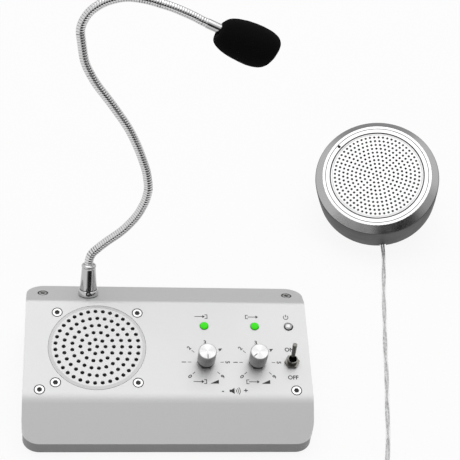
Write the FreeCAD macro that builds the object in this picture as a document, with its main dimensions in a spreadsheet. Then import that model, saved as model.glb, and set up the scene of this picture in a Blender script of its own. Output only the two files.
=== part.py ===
import FreeCAD, Part
import math
import os
import Sketcher

# Window intercom: a desk console with a gooseneck microphone, and a round
# outer unit on its cord. Millimetres, +Z up, the desk at Z = 0.
# The console faces -Y. X = 0 and Y = 0 lie at the middle of the whole set.

V = FreeCAD.Vector
X_AXIS, Y_AXIS, Z_AXIS = V(1, 0, 0), V(0, 1, 0), V(0, 0, 1)
doc = FreeCAD.newDocument("WindowIntercom")

# Driving dimensions, one cell each.
DIMENSIONS = {
    # place of the console's middle from the set's middle
    "set_shift_x": 55.85,
    "set_shift_y": 79.73,
    # console casing
    "console_width": 172.7,
    "front_reach": 50.0,
    "foot_height": 2.0,
    "tray_height": 7.8,
    "tray_inset": 0.3,
    "tray_wall": 1.6,
    "cover_wall": 1.2,
    "corner_radius": 10.7,
    "front_slope_length": 27.45,
    "front_slope_angle": 39.03,
    "panel_length": 66.98,
    "panel_angle": 12.0,
    "strip_length": 21.03,
    "strip_angle": 19.69,
    "front_bend_radius": 14.0,
    "rear_bend_radius": 6.0,
    "foot_radius": 6.0,
    "foot_from_side": 16.35,
    "foot_spacing_y": 76.0,
    # screws
    "screw_head_radius": 3.3,
    "screw_head_depth": 1.1,
    "screw_radius": 1.6,
    "screw_length": 12.0,
    "screw_socket": 1.5,
    "screw_fit": 0.06,
    "case_screw_from_side": 9.95,
    "case_screw_down": 62.1,
    "case_screw_back": 10.8,
    "pillar_radius": 3.6,
    # console loudspeaker
    "speaker_from_side": 43.55,
    "speaker_down": 32.9,
    "speaker_screw_spacing": 48.8,
    "speaker_size": 57.0,
    "speaker_depth": 14.0,
    "speaker_sheet": 0.9,
    "magnet_radius": 16.0,
    "magnet_height": 7.5,
    "emboss_radius": 29.3,
    "emboss_top_radius": 27.3,
    "emboss_height": 0.45,
    "grille_hole_radius": 1.25,
    "grille_hole_pitch": 5.0,
    "gauze_fit": 0.1,
    # lamps
    "lamp_radius": 2.75,
    "lamp_fit": 0.05,
    "lamp_proud": 1.3,
    "lamp_down": 17.4,
    "power_lamp_from_side": 11.25,
    # volume controls
    "inner_control_from_side": 63.85,
    "outer_control_from_side": 32.55,
    "control_down": 43.0,
    "knob_radius": 5.45,
    "knob_top": 13.2,
    "knob_base": 2.3,
    "shaft_radius": 3.0,
    "shaft_fit": 0.05,
    "control_bush_radius": 3.5,
    "control_nut_height": 1.9,
    "control_nut_radius": 5.1,
    "control_body_radius": 8.0,
    "control_body_height": 8.0,
    # toggle switch
    "toggle_from_side": 11.35,
    "toggle_bush_radius": 3.0,
    "toggle_bush_top": 4.6,
    "toggle_nut_radius": 4.62,
    "toggle_nut_height": 2.0,
    "toggle_pivot_height": 1.0,
    "toggle_ball_radius": 1.6,
    "toggle_lever_length": 15.2,
    "toggle_lever_radius": 1.1,
    "toggle_tip_radius": 1.45,
    "toggle_lean": 12.5,
    "toggle_body_x": 8.0,
    "toggle_body_y": 13.0,
    "toggle_body_z": 9.5,
    # neck
    "neck_from_side": 37.95,
    "neck_back": 9.4,
    "neck_radius": 2.75,
    "neck_gap": 0.3,
    "neck_rise": 2.3,
    "ferrule_flange_radius": 6.25,
    "ferrule_flange_height": 2.7,
    "ferrule_foot_radius": 5.25,
    "ferrule_top_radius": 4.25,
    "ferrule_height": 18.3,
    "ferrule_stud_radius": 4.0,
    "ferrule_stud_length": 9.0,
    "collar_radius": 4.5,
    "collar_height": 2.6,
    # microphone
    "mic_angle": 22.8,
    "sleeve_radius": 2.95,
    "capsule_radius": 4.85,
    "capsule_cup_radius": 5.2,
    "capsule_cup_start": 12.8,
    "capsule_cup_end": 27.0,
    "foam_start": 12.2,
    "foam_length": 36.8,
    "foam_near_radius": 11.8,
    "foam_far_radius": 12.6,
    "foam_clearance": 0.3,
    # inside the console
    "board_x": -12.0,
    "board_y": -34.0,
    "board_width": 82.0,
    "board_depth": 58.0,
    "board_thickness": 1.6,
    "standoff_height": 6.0,
    "standoff_radius": 3.0,
    # sockets in the rear wall
    "socket_height": 21.0,
    "power_inlet_from_side": 28.35,
    "outer_unit_jack_from_side": 52.35,
    "record_jack_from_side": 72.35,
    "jack_bore_radius": 1.8,
    "jack_bush_radius": 3.0,
    "jack_depth": 12.0,
    "jack_proud": 2.6,
    "inlet_bore_radius": 2.85,
    "inlet_bush_radius": 4.5,
    "inlet_pin_radius": 1.0,
    "socket_nut_height": 2.0,
    # outer unit
    "unit_x": 157.5,
    "unit_y": 171.7,
    "unit_lean": 27.75,
    "unit_heading": -27.01,
    "unit_rear_radius": 41.5,
    "unit_wide_radius": 43.15,
    "unit_wide_height": 23.95,
    "unit_height": 28.8,
    "unit_face_radius": 37.8,
    "unit_wall": 2.2,
    "unit_grille_radius": 32.6,
    "unit_grille_thickness": 0.8,
    "unit_grille_fit": 0.25,
    "unit_hole_radius": 0.82,
    "unit_hole_pitch": 2.93,
    "unit_lip": 2.0,
    "unit_recess": 3.4,
    "unit_back_thickness": 2.0,
    "unit_screw_head_radius": 2.1,
    "unit_screw_radius": 1.0,
    "unit_ledge": 5.0,
    "unit_groove_radius": 35.8,
    "unit_bead_radius": 31.25,
    "unit_groove_width": 0.4,
    "unit_magnet_height": 5.5,
    "unit_magnet_gap": 1.3,
    "unit_mic_radius": 34.5,
    "unit_mic_angle": 160.5,
    "boot_root_radius": 4.6,
    "boot_root_height": 3.6,
    "unit_notch_angle": 26.0,
    "unit_notch_width": 4.2,
    "unit_notch_height": 2.3,
    # cord
    "cord_diameter": 3.2,
    "cord_gap": 0.45,
    "coil_mean_radius": 19.2,
    "coil_turns_each_way": 3.25,
    "coil_x": 99.5,
    "coil_y": -104.0,
    "plug_radius": 4.0,
    "plug_length": 22.0,
    "plug_tip_radius": 1.75,
    "plug_tip_length": 14.0,
}

sheet = doc.addObject("Spreadsheet::Sheet", "Sizes")
for row, (alias, number) in enumerate(DIMENSIONS.items(), start=1):
    sheet.set(f"A{row}", alias)
    sheet.set(f"B{row}", str(number))
    sheet.setAlias(f"B{row}", alias)
doc.recompute()


class Size:
    """A sheet value or a sum of such values: text for expressions, and its number."""

    def __init__(self, text, number):
        self.text = text
        self.number = number

    def __float__(self):
        return float(self.number)

    def joined(self, sign, other, number):
        return Size(f"({self.text} {sign} {as_size(other).text})", number)

    def __add__(self, other):
        return self.joined("+", other, self.number + float(other))

    def __sub__(self, other):
        return self.joined("-", other, self.number - float(other))

    def __mul__(self, other):
        return self.joined("*", other, self.number * float(other))

    def __truediv__(self, other):
        return self.joined("/", other, self.number / float(other))

    def __neg__(self):
        return Size(f"(0 - {self.text})", -self.number)


def as_size(value):
    return value if isinstance(value, Size) else Size(repr(float(value)), float(value))


def cell(alias):
    return Size(f"Sizes.{alias}", float(sheet.get(alias)))


def sine(angle):
    return Size(f"sin({angle.text})", math.sin(math.radians(angle.number)))


def cosine(angle):
    return Size(f"cos({angle.text})", math.cos(math.radians(angle.number)))


class Cells:
    """Every sheet value under its alias."""

    def __getattr__(self, alias):
        return cell(alias)


S = Cells()

# Where the cover's bends lie, seen from the side: Y back and Z up.
edge_y = -S.front_reach
edge_z = S.foot_height + S.tray_height
front_bend_y = edge_y + S.front_slope_length * cosine(S.front_slope_angle)
front_bend_z = edge_z + S.front_slope_length * sine(S.front_slope_angle)
rear_bend_y = front_bend_y + S.panel_length * cosine(S.panel_angle)
rear_bend_z = front_bend_z + S.panel_length * sine(S.panel_angle)
rear_y = rear_bend_y + S.strip_length * cosine(S.strip_angle)
rear_z = rear_bend_z - S.strip_length * sine(S.strip_angle)

# Depth of the sheet below the outer face, square to the panel and to the strip.
panel_sheet = S.cover_wall * cosine(S.panel_angle)
strip_sheet = S.cover_wall * cosine(S.strip_angle)
tray_floor = S.foot_height + S.tray_wall

# Places across the console, from the side that each piece belongs to.
right_side = S.console_width / 2
left_side = -right_side
case_screw_x = right_side - S.case_screw_from_side
foot_x = right_side - S.foot_from_side
speaker_x = left_side + S.speaker_from_side
neck_x = left_side + S.neck_from_side
inner_control_x = right_side - S.inner_control_from_side
outer_control_x = right_side - S.outer_control_from_side
power_lamp_x = right_side - S.power_lamp_from_side
toggle_x = right_side - S.toggle_from_side


def turned(axis, angle):
    return FreeCAD.Rotation(axis, float(angle))


def place(x=0, y=0, z=0, rotation=None):
    return FreeCAD.Placement(V(float(x), float(y), float(z)), rotation or FreeCAD.Rotation())


# Frames that the pieces stand in. Local Z points out of the panel, strip, wall or face.
CONSOLE = place(-S.set_shift_x, -S.set_shift_y)
PANEL = CONSOLE * place(0, rear_bend_y, rear_bend_z, turned(X_AXIS, S.panel_angle))
STRIP = CONSOLE * place(0, rear_bend_y, rear_bend_z, turned(X_AXIS, -S.strip_angle))
REAR_WALL = CONSOLE * place(0, rear_y, 0, turned(X_AXIS, -90))
NECK = STRIP * place(neck_x, S.neck_back, 0)
UNIT = CONSOLE * place(
    S.unit_x,
    S.unit_y,
    S.unit_rear_radius * sine(S.unit_lean),
    turned(Z_AXIS, S.unit_heading) * turned(X_AXIS, S.unit_lean),
)

kept = []


def keep(piece, label, frame=None):
    """Names a finished sub-part, and places it in its frame."""
    piece.Label = label
    if frame:
        piece.Placement = frame * piece.Placement
    kept.append(piece)
    return piece


def bind(piece, **sizes):
    for prop, size in sizes.items():
        size = as_size(size)
        setattr(piece, prop, size.number)
        piece.setExpression(prop, size.text)


def cylinder(name, radius, height, x=0, y=0, z=0, rotation=None):
    piece = doc.addObject("Part::Cylinder", name)
    bind(piece, Radius=radius, Height=height)
    piece.Placement = place(x, y, z, rotation)
    return piece


def cone(name, radius_low, radius_high, height, z=0):
    piece = doc.addObject("Part::Cone", name)
    bind(piece, Radius1=radius_low, Radius2=radius_high, Height=height)
    piece.Placement = place(z=z)
    return piece


def box(name, length, width, height, x=0, y=0, z=0):
    piece = doc.addObject("Part::Box", name)
    bind(piece, Length=length, Width=width, Height=height)
    piece.Placement = place(x, y, z)
    return piece


def prism(name, circumradius, height, z=0):
    piece = doc.addObject("Part::Prism", name)
    piece.Polygon = 6
    bind(piece, Circumradius=circumradius, Height=height)
    piece.Placement = place(z=z)
    return piece


def cut(name, base, *tools):
    piece = doc.addObject("Part::Cut", name)
    piece.Base = base
    piece.Tool = tools[0] if len(tools) == 1 else fuse(name + "Tools", *tools)
    return piece


def fuse(name, *shapes):
    piece = doc.addObject("Part::MultiFuse", name)
    piece.Shapes = list(shapes)
    return piece


def common(name, first, second):
    piece = doc.addObject("Part::MultiCommon", name)
    piece.Shapes = [first, second]
    return piece


def holder(name, shape):
    piece = doc.addObject("Part::Feature", name)
    piece.Shape = shape
    return piece


def group(label, source, frames):
    """Copies of one small piece, as separate solids in one node."""
    doc.recompute()
    copies = [source.Shape.transformed(frame.toMatrix(), True) for frame in frames]
    return keep(holder(label, Part.makeCompound(copies)), label)


def fill_sketch(sketch, points):
    """A closed outline whose corners are tied to the sheet."""
    count = len(points)
    corners = [(as_size(a), as_size(b)) for a, b in points]
    for i in range(count):
        start, end = corners[i], corners[(i + 1) % count]
        start_point = V(float(start[0]), float(start[1]), 0)
        end_point = V(float(end[0]), float(end[1]), 0)
        sketch.addGeometry(Part.LineSegment(start_point, end_point), False)
    for i in range(count):
        sketch.addConstraint(Sketcher.Constraint("Coincident", i, 2, (i + 1) % count, 1))
    for i, corner in enumerate(corners):
        for kind, size in zip(("DistanceX", "DistanceY"), corner):
            index = sketch.addConstraint(Sketcher.Constraint(kind, -1, 1, i, 1, float(size)))
            if "Sizes" in size.text:
                sketch.setExpression(f"Constraints[{index}]", size.text)


def body_sketch(name, role, points):
    body = doc.addObject("PartDesign::Body", name)
    sketch = body.newObject("Sketcher::SketchObject", name + "Sketch")
    plane = next(f for f in body.Origin.OriginFeatures if f.Role == role)
    sketch.AttachmentSupport = [(plane, "")]
    sketch.MapMode = "FlatFace"
    fill_sketch(sketch, points)
    return body, sketch


def revolved(name, points):
    """A turned piece from its outline in radius and height."""
    body, sketch = body_sketch(name, "XZ_Plane", points)
    turn = body.newObject("PartDesign::Revolution", name + "Turn")
    turn.Profile = sketch
    turn.ReferenceAxis = (sketch, ["V_Axis"])
    turn.Angle = 360
    return body


def side_block(name, points, width):
    """A block of one side outline, as wide as asked, about X = 0."""
    sketch = doc.addObject("Sketcher::SketchObject", name + "Outline")
    sketch.Placement = FreeCAD.Placement(V(), FreeCAD.Rotation(Y_AXIS, Z_AXIS, X_AXIS, "ZXY"))
    fill_sketch(sketch, points)
    block = doc.addObject("Part::Extrusion", name)
    block.Base = sketch
    block.DirMode = "Normal"
    block.Solid = True
    block.Symmetric = True
    bind(block, LengthFwd=width)
    return block


def edges_where(shape, test):
    return [i for i, edge in enumerate(shape.Edges, start=1) if test(edge)]


def along(edge, axis):
    if not isinstance(edge.Curve, Part.Line):
        return False
    return abs(abs(edge.tangentAt(edge.FirstParameter).dot(axis)) - 1) < 1e-6


def rounded(name, base, radius, test):
    """Rounds the edges that pass a test."""
    doc.recompute()
    piece = doc.addObject("Part::Fillet", name)
    piece.Base = base
    piece.Edges = [(i, float(radius), float(radius)) for i in edges_where(base.Shape, test)]
    return piece


def rounded_block(name, inset, low, high, back_y, radius):
    """A block with the console's outline from above, drawn in by an inset."""
    block = box(
        name + "Block",
        S.console_width - inset * 2,
        back_y - edge_y - inset * 2,
        high - low,
        x=-(S.console_width / 2 - inset),
        y=edge_y + inset,
        z=low,
    )
    return rounded(name, block, radius, lambda edge: along(edge, Z_AXIS))


def cover_side(drop):
    """The cover's side outline, lowered by a drop."""
    return [
        (edge_y, edge_z - drop),
        (front_bend_y, front_bend_z - drop),
        (rear_bend_y, rear_bend_z - drop),
        (rear_y, rear_z - drop),
        (rear_y, edge_z - drop - 1),
        (edge_y, edge_z - drop - 1),
    ]


def near_line(edge, y, z):
    middle = edge.CenterOfMass
    return along(edge, X_AXIS) and math.hypot(middle.y - float(y), middle.z - float(z)) < 0.5


def ring_holes(name, rings, first_count, pitch, radius, low, high, frame):
    """Punched holes in rings round one middle hole, as tools to cut with."""
    tools = [Part.makeCylinder(radius, high - low, V(0, 0, low))]
    for ring in range(1, rings + 1):
        count = first_count * ring
        for k in range(count):
            angle = 2 * math.pi * k / count
            centre = V(ring * pitch * math.cos(angle), ring * pitch * math.sin(angle), low)
            tools.append(Part.makeCylinder(radius, high - low, centre))
    piece = holder(name, Part.makeCompound(tools))
    piece.Placement = frame
    return piece


def panel_at(x, down):
    """A frame on the main panel, so far right of the middle and down from the rear bend."""
    return PANEL * place(x, -down, 0)


def strip_at(x, back):
    return STRIP * place(x, back, 0)


def rear_wall_at(from_side):
    return REAR_WALL * place(right_side - from_side, -S.socket_height, 0)


SIDES = (-1, 1)
SPEAKER_FRAME = panel_at(speaker_x, S.speaker_down)
CASE_SCREW_FRAMES = [panel_at(case_screw_x * side, S.case_screw_down) for side in SIDES] + [
    strip_at(case_screw_x * side, S.case_screw_back) for side in SIDES
]
SPEAKER_SCREW_FRAMES = [
    SPEAKER_FRAME * place(S.speaker_screw_spacing / 2 * i, S.speaker_screw_spacing / 2 * j)
    for i in SIDES
    for j in SIDES
]
LAMP_FRAMES = {
    "inside_call_lamp": panel_at(inner_control_x, S.lamp_down),
    "outside_call_lamp": panel_at(outer_control_x, S.lamp_down),
    "power_lamp": panel_at(power_lamp_x, S.lamp_down),
}
CONTROL_FRAMES = {
    "internal": panel_at(inner_control_x, S.control_down),
    "external": panel_at(outer_control_x, S.control_down),
}
TOGGLE_FRAME = panel_at(toggle_x, S.control_down)
SOCKET_FRAMES = {
    "power_inlet": rear_wall_at(S.power_inlet_from_side),
    "outer_unit_jack": rear_wall_at(S.outer_unit_jack_from_side),
    "record_jack": rear_wall_at(S.record_jack_from_side),
}


def hole_tool(name, radius, frame, reach=4):
    tool = cylinder(name, radius, 2 * reach, z=-reach)
    tool.Placement = frame * tool.Placement
    return tool


def seat_tool(name, frame):
    """The countersunk seat of one screw."""
    tool = revolved(
        name,
        [
            (0, 1),
            (S.screw_head_radius + S.screw_fit, 1),
            (S.screw_head_radius + S.screw_fit, 0),
            (S.screw_radius + S.screw_fit * 2, -S.screw_head_depth),
            (S.screw_radius + S.screw_fit * 2, -6),
            (0, -6),
        ],
    )
    tool.Placement = frame
    return tool


def make_cover():
    outer_block = common(
        "CoverOuter",
        side_block("CoverOuterSide", cover_side(as_size(0)), S.console_width),
        rounded_block("CoverOuterPlan", as_size(0), edge_z, rear_bend_z + 5, rear_y, S.corner_radius),
    )
    front_rounded = rounded(
        "CoverFrontBend",
        outer_block,
        S.front_bend_radius,
        lambda edge: near_line(edge, front_bend_y, front_bend_z),
    )
    both_rounded = rounded(
        "CoverRearBend",
        front_rounded,
        S.rear_bend_radius,
        lambda edge: near_line(edge, rear_bend_y, rear_bend_z),
    )
    inner_block = common(
        "CoverInner",
        side_block("CoverInnerSide", cover_side(S.cover_wall), S.console_width - S.cover_wall * 2),
        rounded_block(
            "CoverInnerPlan",
            S.cover_wall,
            edge_z - 2,
            rear_bend_z + 5,
            rear_y,
            S.corner_radius - S.cover_wall,
        ),
    )
    both_rounded.Placement = CONSOLE
    inner_block.Placement = CONSOLE
    emboss = revolved(
        "SpeakerEmboss",
        [
            (0, -panel_sheet / 2),
            (S.emboss_radius, -panel_sheet / 2),
            (S.emboss_radius, 0),
            (S.emboss_top_radius, S.emboss_height),
            (0, S.emboss_height),
        ],
    )
    pocket = cylinder("SpeakerPocket", S.emboss_top_radius, 4, z=S.emboss_height - panel_sheet - 4)
    for piece in (emboss, pocket):
        piece.Placement = SPEAKER_FRAME * piece.Placement
    holes = ring_holes(
        "SpeakerHoles",
        5,
        7,
        float(S.grille_hole_pitch),
        float(S.grille_hole_radius),
        -4,
        2,
        SPEAKER_FRAME,
    )
    tools = [inner_block, pocket, holes]
    for k, frame in enumerate(CASE_SCREW_FRAMES + SPEAKER_SCREW_FRAMES):
        tools.append(seat_tool(f"ScrewSeat{k}", frame))
    for name, frame in LAMP_FRAMES.items():
        tools.append(hole_tool(name + "_hole", S.lamp_radius + S.lamp_fit, frame))
    for name, frame in CONTROL_FRAMES.items():
        tools.append(hole_tool(name + "_control_hole", S.control_bush_radius + S.lamp_fit, frame))
    tools.append(hole_tool("toggle_hole", S.toggle_bush_radius + S.lamp_fit, TOGGLE_FRAME))
    tools.append(hole_tool("neck_hole", S.ferrule_stud_radius + S.lamp_fit, NECK))
    for name, frame in SOCKET_FRAMES.items():
        radius = S.inlet_bush_radius if name == "power_inlet" else S.jack_bush_radius
        tools.append(hole_tool(name + "_hole", radius + S.lamp_fit, frame))
    keep(cut("top_cover", fuse("CoverEmbossed", both_rounded, emboss), *tools), "top_cover")


FOOT_POINTS = [(i, j) for i in SIDES for j in SIDES]
foot_middle_y = (edge_y + rear_y) / 2
FOOT_FRAMES = [
    CONSOLE * place(foot_x * i, foot_middle_y + S.foot_spacing_y / 2 * j)
    for i, j in FOOT_POINTS
]


def make_tray():
    outer = rounded_block(
        "TrayOuter",
        S.tray_inset,
        S.foot_height,
        edge_z,
        rear_y,
        S.corner_radius - S.tray_inset,
    )
    inner = rounded_block(
        "TrayInner",
        S.tray_inset + S.tray_wall,
        tray_floor,
        edge_z + 1,
        rear_y,
        S.corner_radius - S.tray_inset - S.tray_wall,
    )
    outer.Placement = CONSOLE
    inner.Placement = CONSOLE
    holes = [
        hole_tool(f"FootScrewHole{k}", S.screw_radius + S.screw_fit, frame, reach=6)
        for k, frame in enumerate(FOOT_FRAMES)
    ]
    keep(cut("base_tray", outer, inner, *holes), "base_tray")


def make_feet():
    foot = cut(
        "FootBlank",
        cylinder("FootDisc", S.foot_radius, S.foot_height),
        cylinder("FootBore", S.screw_radius + S.screw_fit, S.foot_height + 1),
        cylinder("FootCounterbore", S.screw_head_radius, S.foot_height / 2),
    )
    group("rubber_feet", foot, FOOT_FRAMES)
    screw = fuse(
        "FootScrewBlank",
        cylinder("FootScrewHead", S.screw_head_radius - 0.3, S.foot_height / 2 - 0.3, z=0.3),
        cylinder("FootScrewShank", S.screw_radius, 6, z=0.3),
    )
    group("foot_screws", screw, FOOT_FRAMES)


def screw_blank(name, length):
    """A countersunk screw with a six-sided socket, its head flush with Z = 0."""
    turned_part = revolved(
        name + "Turned",
        [
            (0, 0),
            (S.screw_head_radius, 0),
            (S.screw_radius, -S.screw_head_depth),
            (S.screw_radius, -length),
            (0, -length),
        ],
    )
    socket = prism(name + "Socket", S.screw_socket, S.screw_head_depth, z=-S.screw_head_depth * 0.8)
    return cut(name, turned_part, socket)


def make_screws():
    group("case_screws", screw_blank("CaseScrew", S.screw_length), CASE_SCREW_FRAMES)
    group("speaker_screws", screw_blank("SpeakerScrew", S.screw_length * 0.7), SPEAKER_SCREW_FRAMES)


def make_pillars():
    """Posts from the tray's floor to the underside of the cover, square to its faces."""
    posts = []
    half = float(S.console_width) / 4
    for k, frame in enumerate(CASE_SCREW_FRAMES):
        top = panel_sheet if k < 2 else strip_sheet
        below_floor = box(f"BelowFloor{k}", half * 2, half * 2, 60, -half, -half, tray_floor - 60)
        below_floor.Placement = place(frame.Base.x, frame.Base.y) * below_floor.Placement
        post = cylinder(f"PillarPost{k}", S.pillar_radius, 60, z=-top - 60)
        bore = cylinder(f"PillarBore{k}", S.screw_radius + S.screw_fit, 14, z=-14)
        post.Placement = frame * post.Placement
        bore.Placement = frame * bore.Placement
        posts.append(cut(f"Pillar{k}", post, bore, below_floor))
    pillars = doc.addObject("Part::Compound", "case_pillars")
    pillars.Links = posts
    keep(pillars, "case_pillars")


def speaker_outlines(rim_radius, depth, sheet_thickness):
    """Turned outlines of a basket and its paper cone, with the rim's front at Z = 0."""
    throat = rim_radius * 0.55
    basket = [
        (rim_radius, -sheet_thickness),
        (rim_radius + 1.4, -sheet_thickness),
        (throat + 1, -depth),
        (0, -depth),
        (0, -depth + sheet_thickness),
        (throat, -depth + sheet_thickness),
    ]
    cone_outline = [
        (0, -depth * 0.5),
        (rim_radius * 0.35, -depth * 0.6),
        (rim_radius * 0.86, 0),
        (rim_radius - 0.2, 0),
        (rim_radius - 0.2, -0.6),
        (rim_radius * 0.88, -0.6),
        (rim_radius * 0.35, -depth * 0.6 - 0.7),
        (0, -depth * 0.5 - 0.7),
    ]
    return basket, cone_outline


def make_speaker():
    front = -panel_sheet
    gauze = cylinder("speaker_gauze", S.emboss_top_radius - S.gauze_fit, S.emboss_height, z=front)
    keep(gauze, "speaker_gauze", SPEAKER_FRAME)
    rim_radius = S.speaker_size / 2 - 3
    basket_outline, cone_outline = speaker_outlines(rim_radius, S.speaker_depth, S.speaker_sheet)
    half = S.speaker_size / 2
    plate = box(
        "SpeakerPlate", S.speaker_size, S.speaker_size, S.speaker_sheet, -half, -half, -S.speaker_sheet
    )
    flange = cut(
        "SpeakerFlange",
        rounded("SpeakerPlateRound", plate, 5, lambda edge: along(edge, Z_AXIS)),
        cylinder("SpeakerOpening", rim_radius, 3, z=-2),
        *[
            cylinder(
                f"SpeakerEar{i}{j}",
                S.screw_radius + S.screw_fit,
                3,
                S.speaker_screw_spacing / 2 * i,
                S.speaker_screw_spacing / 2 * j,
                -2,
            )
            for i in SIDES
            for j in SIDES
        ],
    )
    basket = fuse("speaker_basket", flange, revolved("SpeakerBowl", basket_outline))
    seat = SPEAKER_FRAME * place(z=front)
    keep(basket, "speaker_basket", seat)
    keep(revolved("speaker_cone", cone_outline), "speaker_cone", seat)
    magnet = cylinder(
        "speaker_magnet", S.magnet_radius, S.magnet_height, z=-S.speaker_depth - S.magnet_height
    )
    keep(magnet, "speaker_magnet", seat)
    nut = cut(
        "SpeakerNutBlank",
        prism("SpeakerNutHex", S.screw_radius * 2, 2.4, z=-2.4),
        cylinder("SpeakerNutBore", S.screw_radius + S.screw_fit, 4, z=-3),
    )
    under_flange = place(z=front - S.speaker_sheet)
    group("speaker_nuts", nut, [frame * under_flange for frame in SPEAKER_SCREW_FRAMES])


def make_lamps():
    for name, frame in LAMP_FRAMES.items():
        lamp = revolved(
            name,
            [
                (0, S.lamp_proud),
                (S.lamp_radius * 0.34, S.lamp_proud * 0.94),
                (S.lamp_radius * 0.64, S.lamp_proud * 0.77),
                (S.lamp_radius * 0.87, S.lamp_proud * 0.49),
                (S.lamp_radius, S.lamp_proud * 0.1),
                (S.lamp_radius, -panel_sheet),
                (S.lamp_radius + 0.45, -panel_sheet),
                (S.lamp_radius + 0.45, -panel_sheet - 1),
                (S.lamp_radius, -panel_sheet - 1),
                (S.lamp_radius, -panel_sheet - 3),
                (0, -panel_sheet - 3),
            ],
        )
        keep(lamp, name, frame)


def make_controls():
    bore_radius = S.shaft_radius + S.shaft_fit
    shaft_low = -panel_sheet - S.control_body_height + 1
    for name, frame in CONTROL_FRAMES.items():
        pot = revolved(
            name + "_volume_control",
            [
                (bore_radius, S.control_nut_height),
                (S.control_bush_radius, S.control_nut_height),
                (S.control_bush_radius, -panel_sheet),
                (S.control_body_radius, -panel_sheet),
                (S.control_body_radius, -panel_sheet - S.control_body_height),
                (0, -panel_sheet - S.control_body_height),
                (0, shaft_low - S.shaft_fit),
                (bore_radius, shaft_low - S.shaft_fit),
            ],
        )
        keep(pot, name + "_volume_control", frame)
        shaft = cylinder(name + "_volume_shaft", S.shaft_radius, S.knob_top - 2 - shaft_low, z=shaft_low)
        keep(shaft, name + "_volume_shaft", frame)
        knob = revolved(
            name + "_volume_knob",
            [
                (S.shaft_radius, S.knob_base),
                (S.knob_radius, S.knob_base),
                (S.knob_radius, S.knob_top - 0.35),
                (S.knob_radius - 0.35, S.knob_top),
                (0, S.knob_top),
                (0, S.knob_top - 2),
                (S.shaft_radius, S.knob_top - 2),
            ],
        )
        keep(knob, name + "_volume_knob", frame)
    nut = cut(
        "ControlNutBlank",
        prism("ControlNutHex", S.control_nut_radius, S.control_nut_height),
        cylinder("ControlNutBore", S.control_bush_radius + S.screw_fit, 4, z=-1),
    )
    group("volume_control_nuts", nut, CONTROL_FRAMES.values())


def make_toggle():
    half_x = S.toggle_body_x / 2
    half_y = S.toggle_body_y / 2
    low = -panel_sheet - S.toggle_body_z
    body = box("toggle_body", S.toggle_body_x, S.toggle_body_y, S.toggle_body_z, -half_x, -half_y, low)
    keep(body, "toggle_body", TOGGLE_FRAME)
    bore = S.toggle_ball_radius + 0.07
    bush = revolved(
        "toggle_bush",
        [
            (bore, -panel_sheet),
            (S.toggle_bush_radius, -panel_sheet),
            (S.toggle_bush_radius, S.toggle_bush_top),
            (S.toggle_bush_radius - 0.5, S.toggle_bush_top),
            (bore, S.toggle_pivot_height + 0.6),
        ],
    )
    keep(bush, "toggle_bush", TOGGLE_FRAME)
    nut = cut(
        "toggle_nut",
        prism("ToggleNutHex", S.toggle_nut_radius, S.toggle_nut_height),
        cylinder("ToggleNutBore", S.toggle_bush_radius + S.screw_fit, 4, z=-1),
    )
    keep(nut, "toggle_nut", TOGGLE_FRAME)
    ball = doc.addObject("Part::Sphere", "ToggleBall")
    bind(ball, Radius=S.toggle_ball_radius)
    stem = cone("ToggleStem", S.toggle_lever_radius, S.toggle_tip_radius, S.toggle_lever_length)
    lever = fuse("toggle_lever", ball, stem)
    lean = place(z=S.toggle_pivot_height, rotation=turned(X_AXIS, -S.toggle_lean))
    keep(lever, "toggle_lever", TOGGLE_FRAME * lean)


def make_ferrule():
    bore = S.neck_radius + 0.1
    turned_part = revolved(
        "FerruleTurned",
        [
            (bore, -S.ferrule_stud_length),
            (S.ferrule_stud_radius, -S.ferrule_stud_length),
            (S.ferrule_stud_radius, 0),
            (S.ferrule_flange_radius, 0),
            (S.ferrule_flange_radius, S.ferrule_flange_height * 0.7),
            (S.ferrule_flange_radius - 0.5, S.ferrule_flange_height),
            (S.ferrule_foot_radius, S.ferrule_flange_height),
            (S.ferrule_top_radius, S.ferrule_height),
            (bore, S.ferrule_height),
        ],
    )
    screw_y = turned(X_AXIS, 90)
    screw_z = S.ferrule_flange_height + S.screw_radius + 0.5
    ferrule = cut(
        "neck_ferrule",
        turned_part,
        cylinder("SetScrewHole", S.screw_radius, 8, z=screw_z, rotation=screw_y),
    )
    keep(ferrule, "neck_ferrule", NECK)
    screw_start = bore + 0.05
    set_screw = cut(
        "neck_set_screw",
        cylinder("SetScrewRod", S.screw_radius - 0.04, 2.2, y=-screw_start, z=screw_z, rotation=screw_y),
        box("SetScrewSlot", 2, 1, 0.5, x=-1, y=-screw_start - 2.4, z=screw_z - 0.25),
        box("SetScrewCross", 0.5, 1, 2, x=-0.25, y=-screw_start - 2.4, z=screw_z - 1),
    )
    keep(set_screw, "neck_set_screw", NECK)
    collar = revolved(
        "neck_collar",
        [
            (bore, S.ferrule_height),
            (S.ferrule_top_radius - 0.2, S.ferrule_height),
            (S.collar_radius, S.ferrule_height + S.collar_height * 0.3),
            (S.collar_radius, S.ferrule_height + S.collar_height * 0.6),
            (bore + 0.4, S.ferrule_height + S.collar_height),
            (bore, S.ferrule_height + S.collar_height),
        ],
    )
    keep(collar, "neck_collar", NECK)
    nut = cut(
        "neck_nut",
        prism("NeckNutHex", S.ferrule_stud_radius * 1.6, 3, z=-strip_sheet - 3),
        cylinder("NeckNutBore", S.ferrule_stud_radius + S.screw_fit, 8, z=-strip_sheet - 5),
    )
    keep(nut, "neck_nut", NECK)


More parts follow.
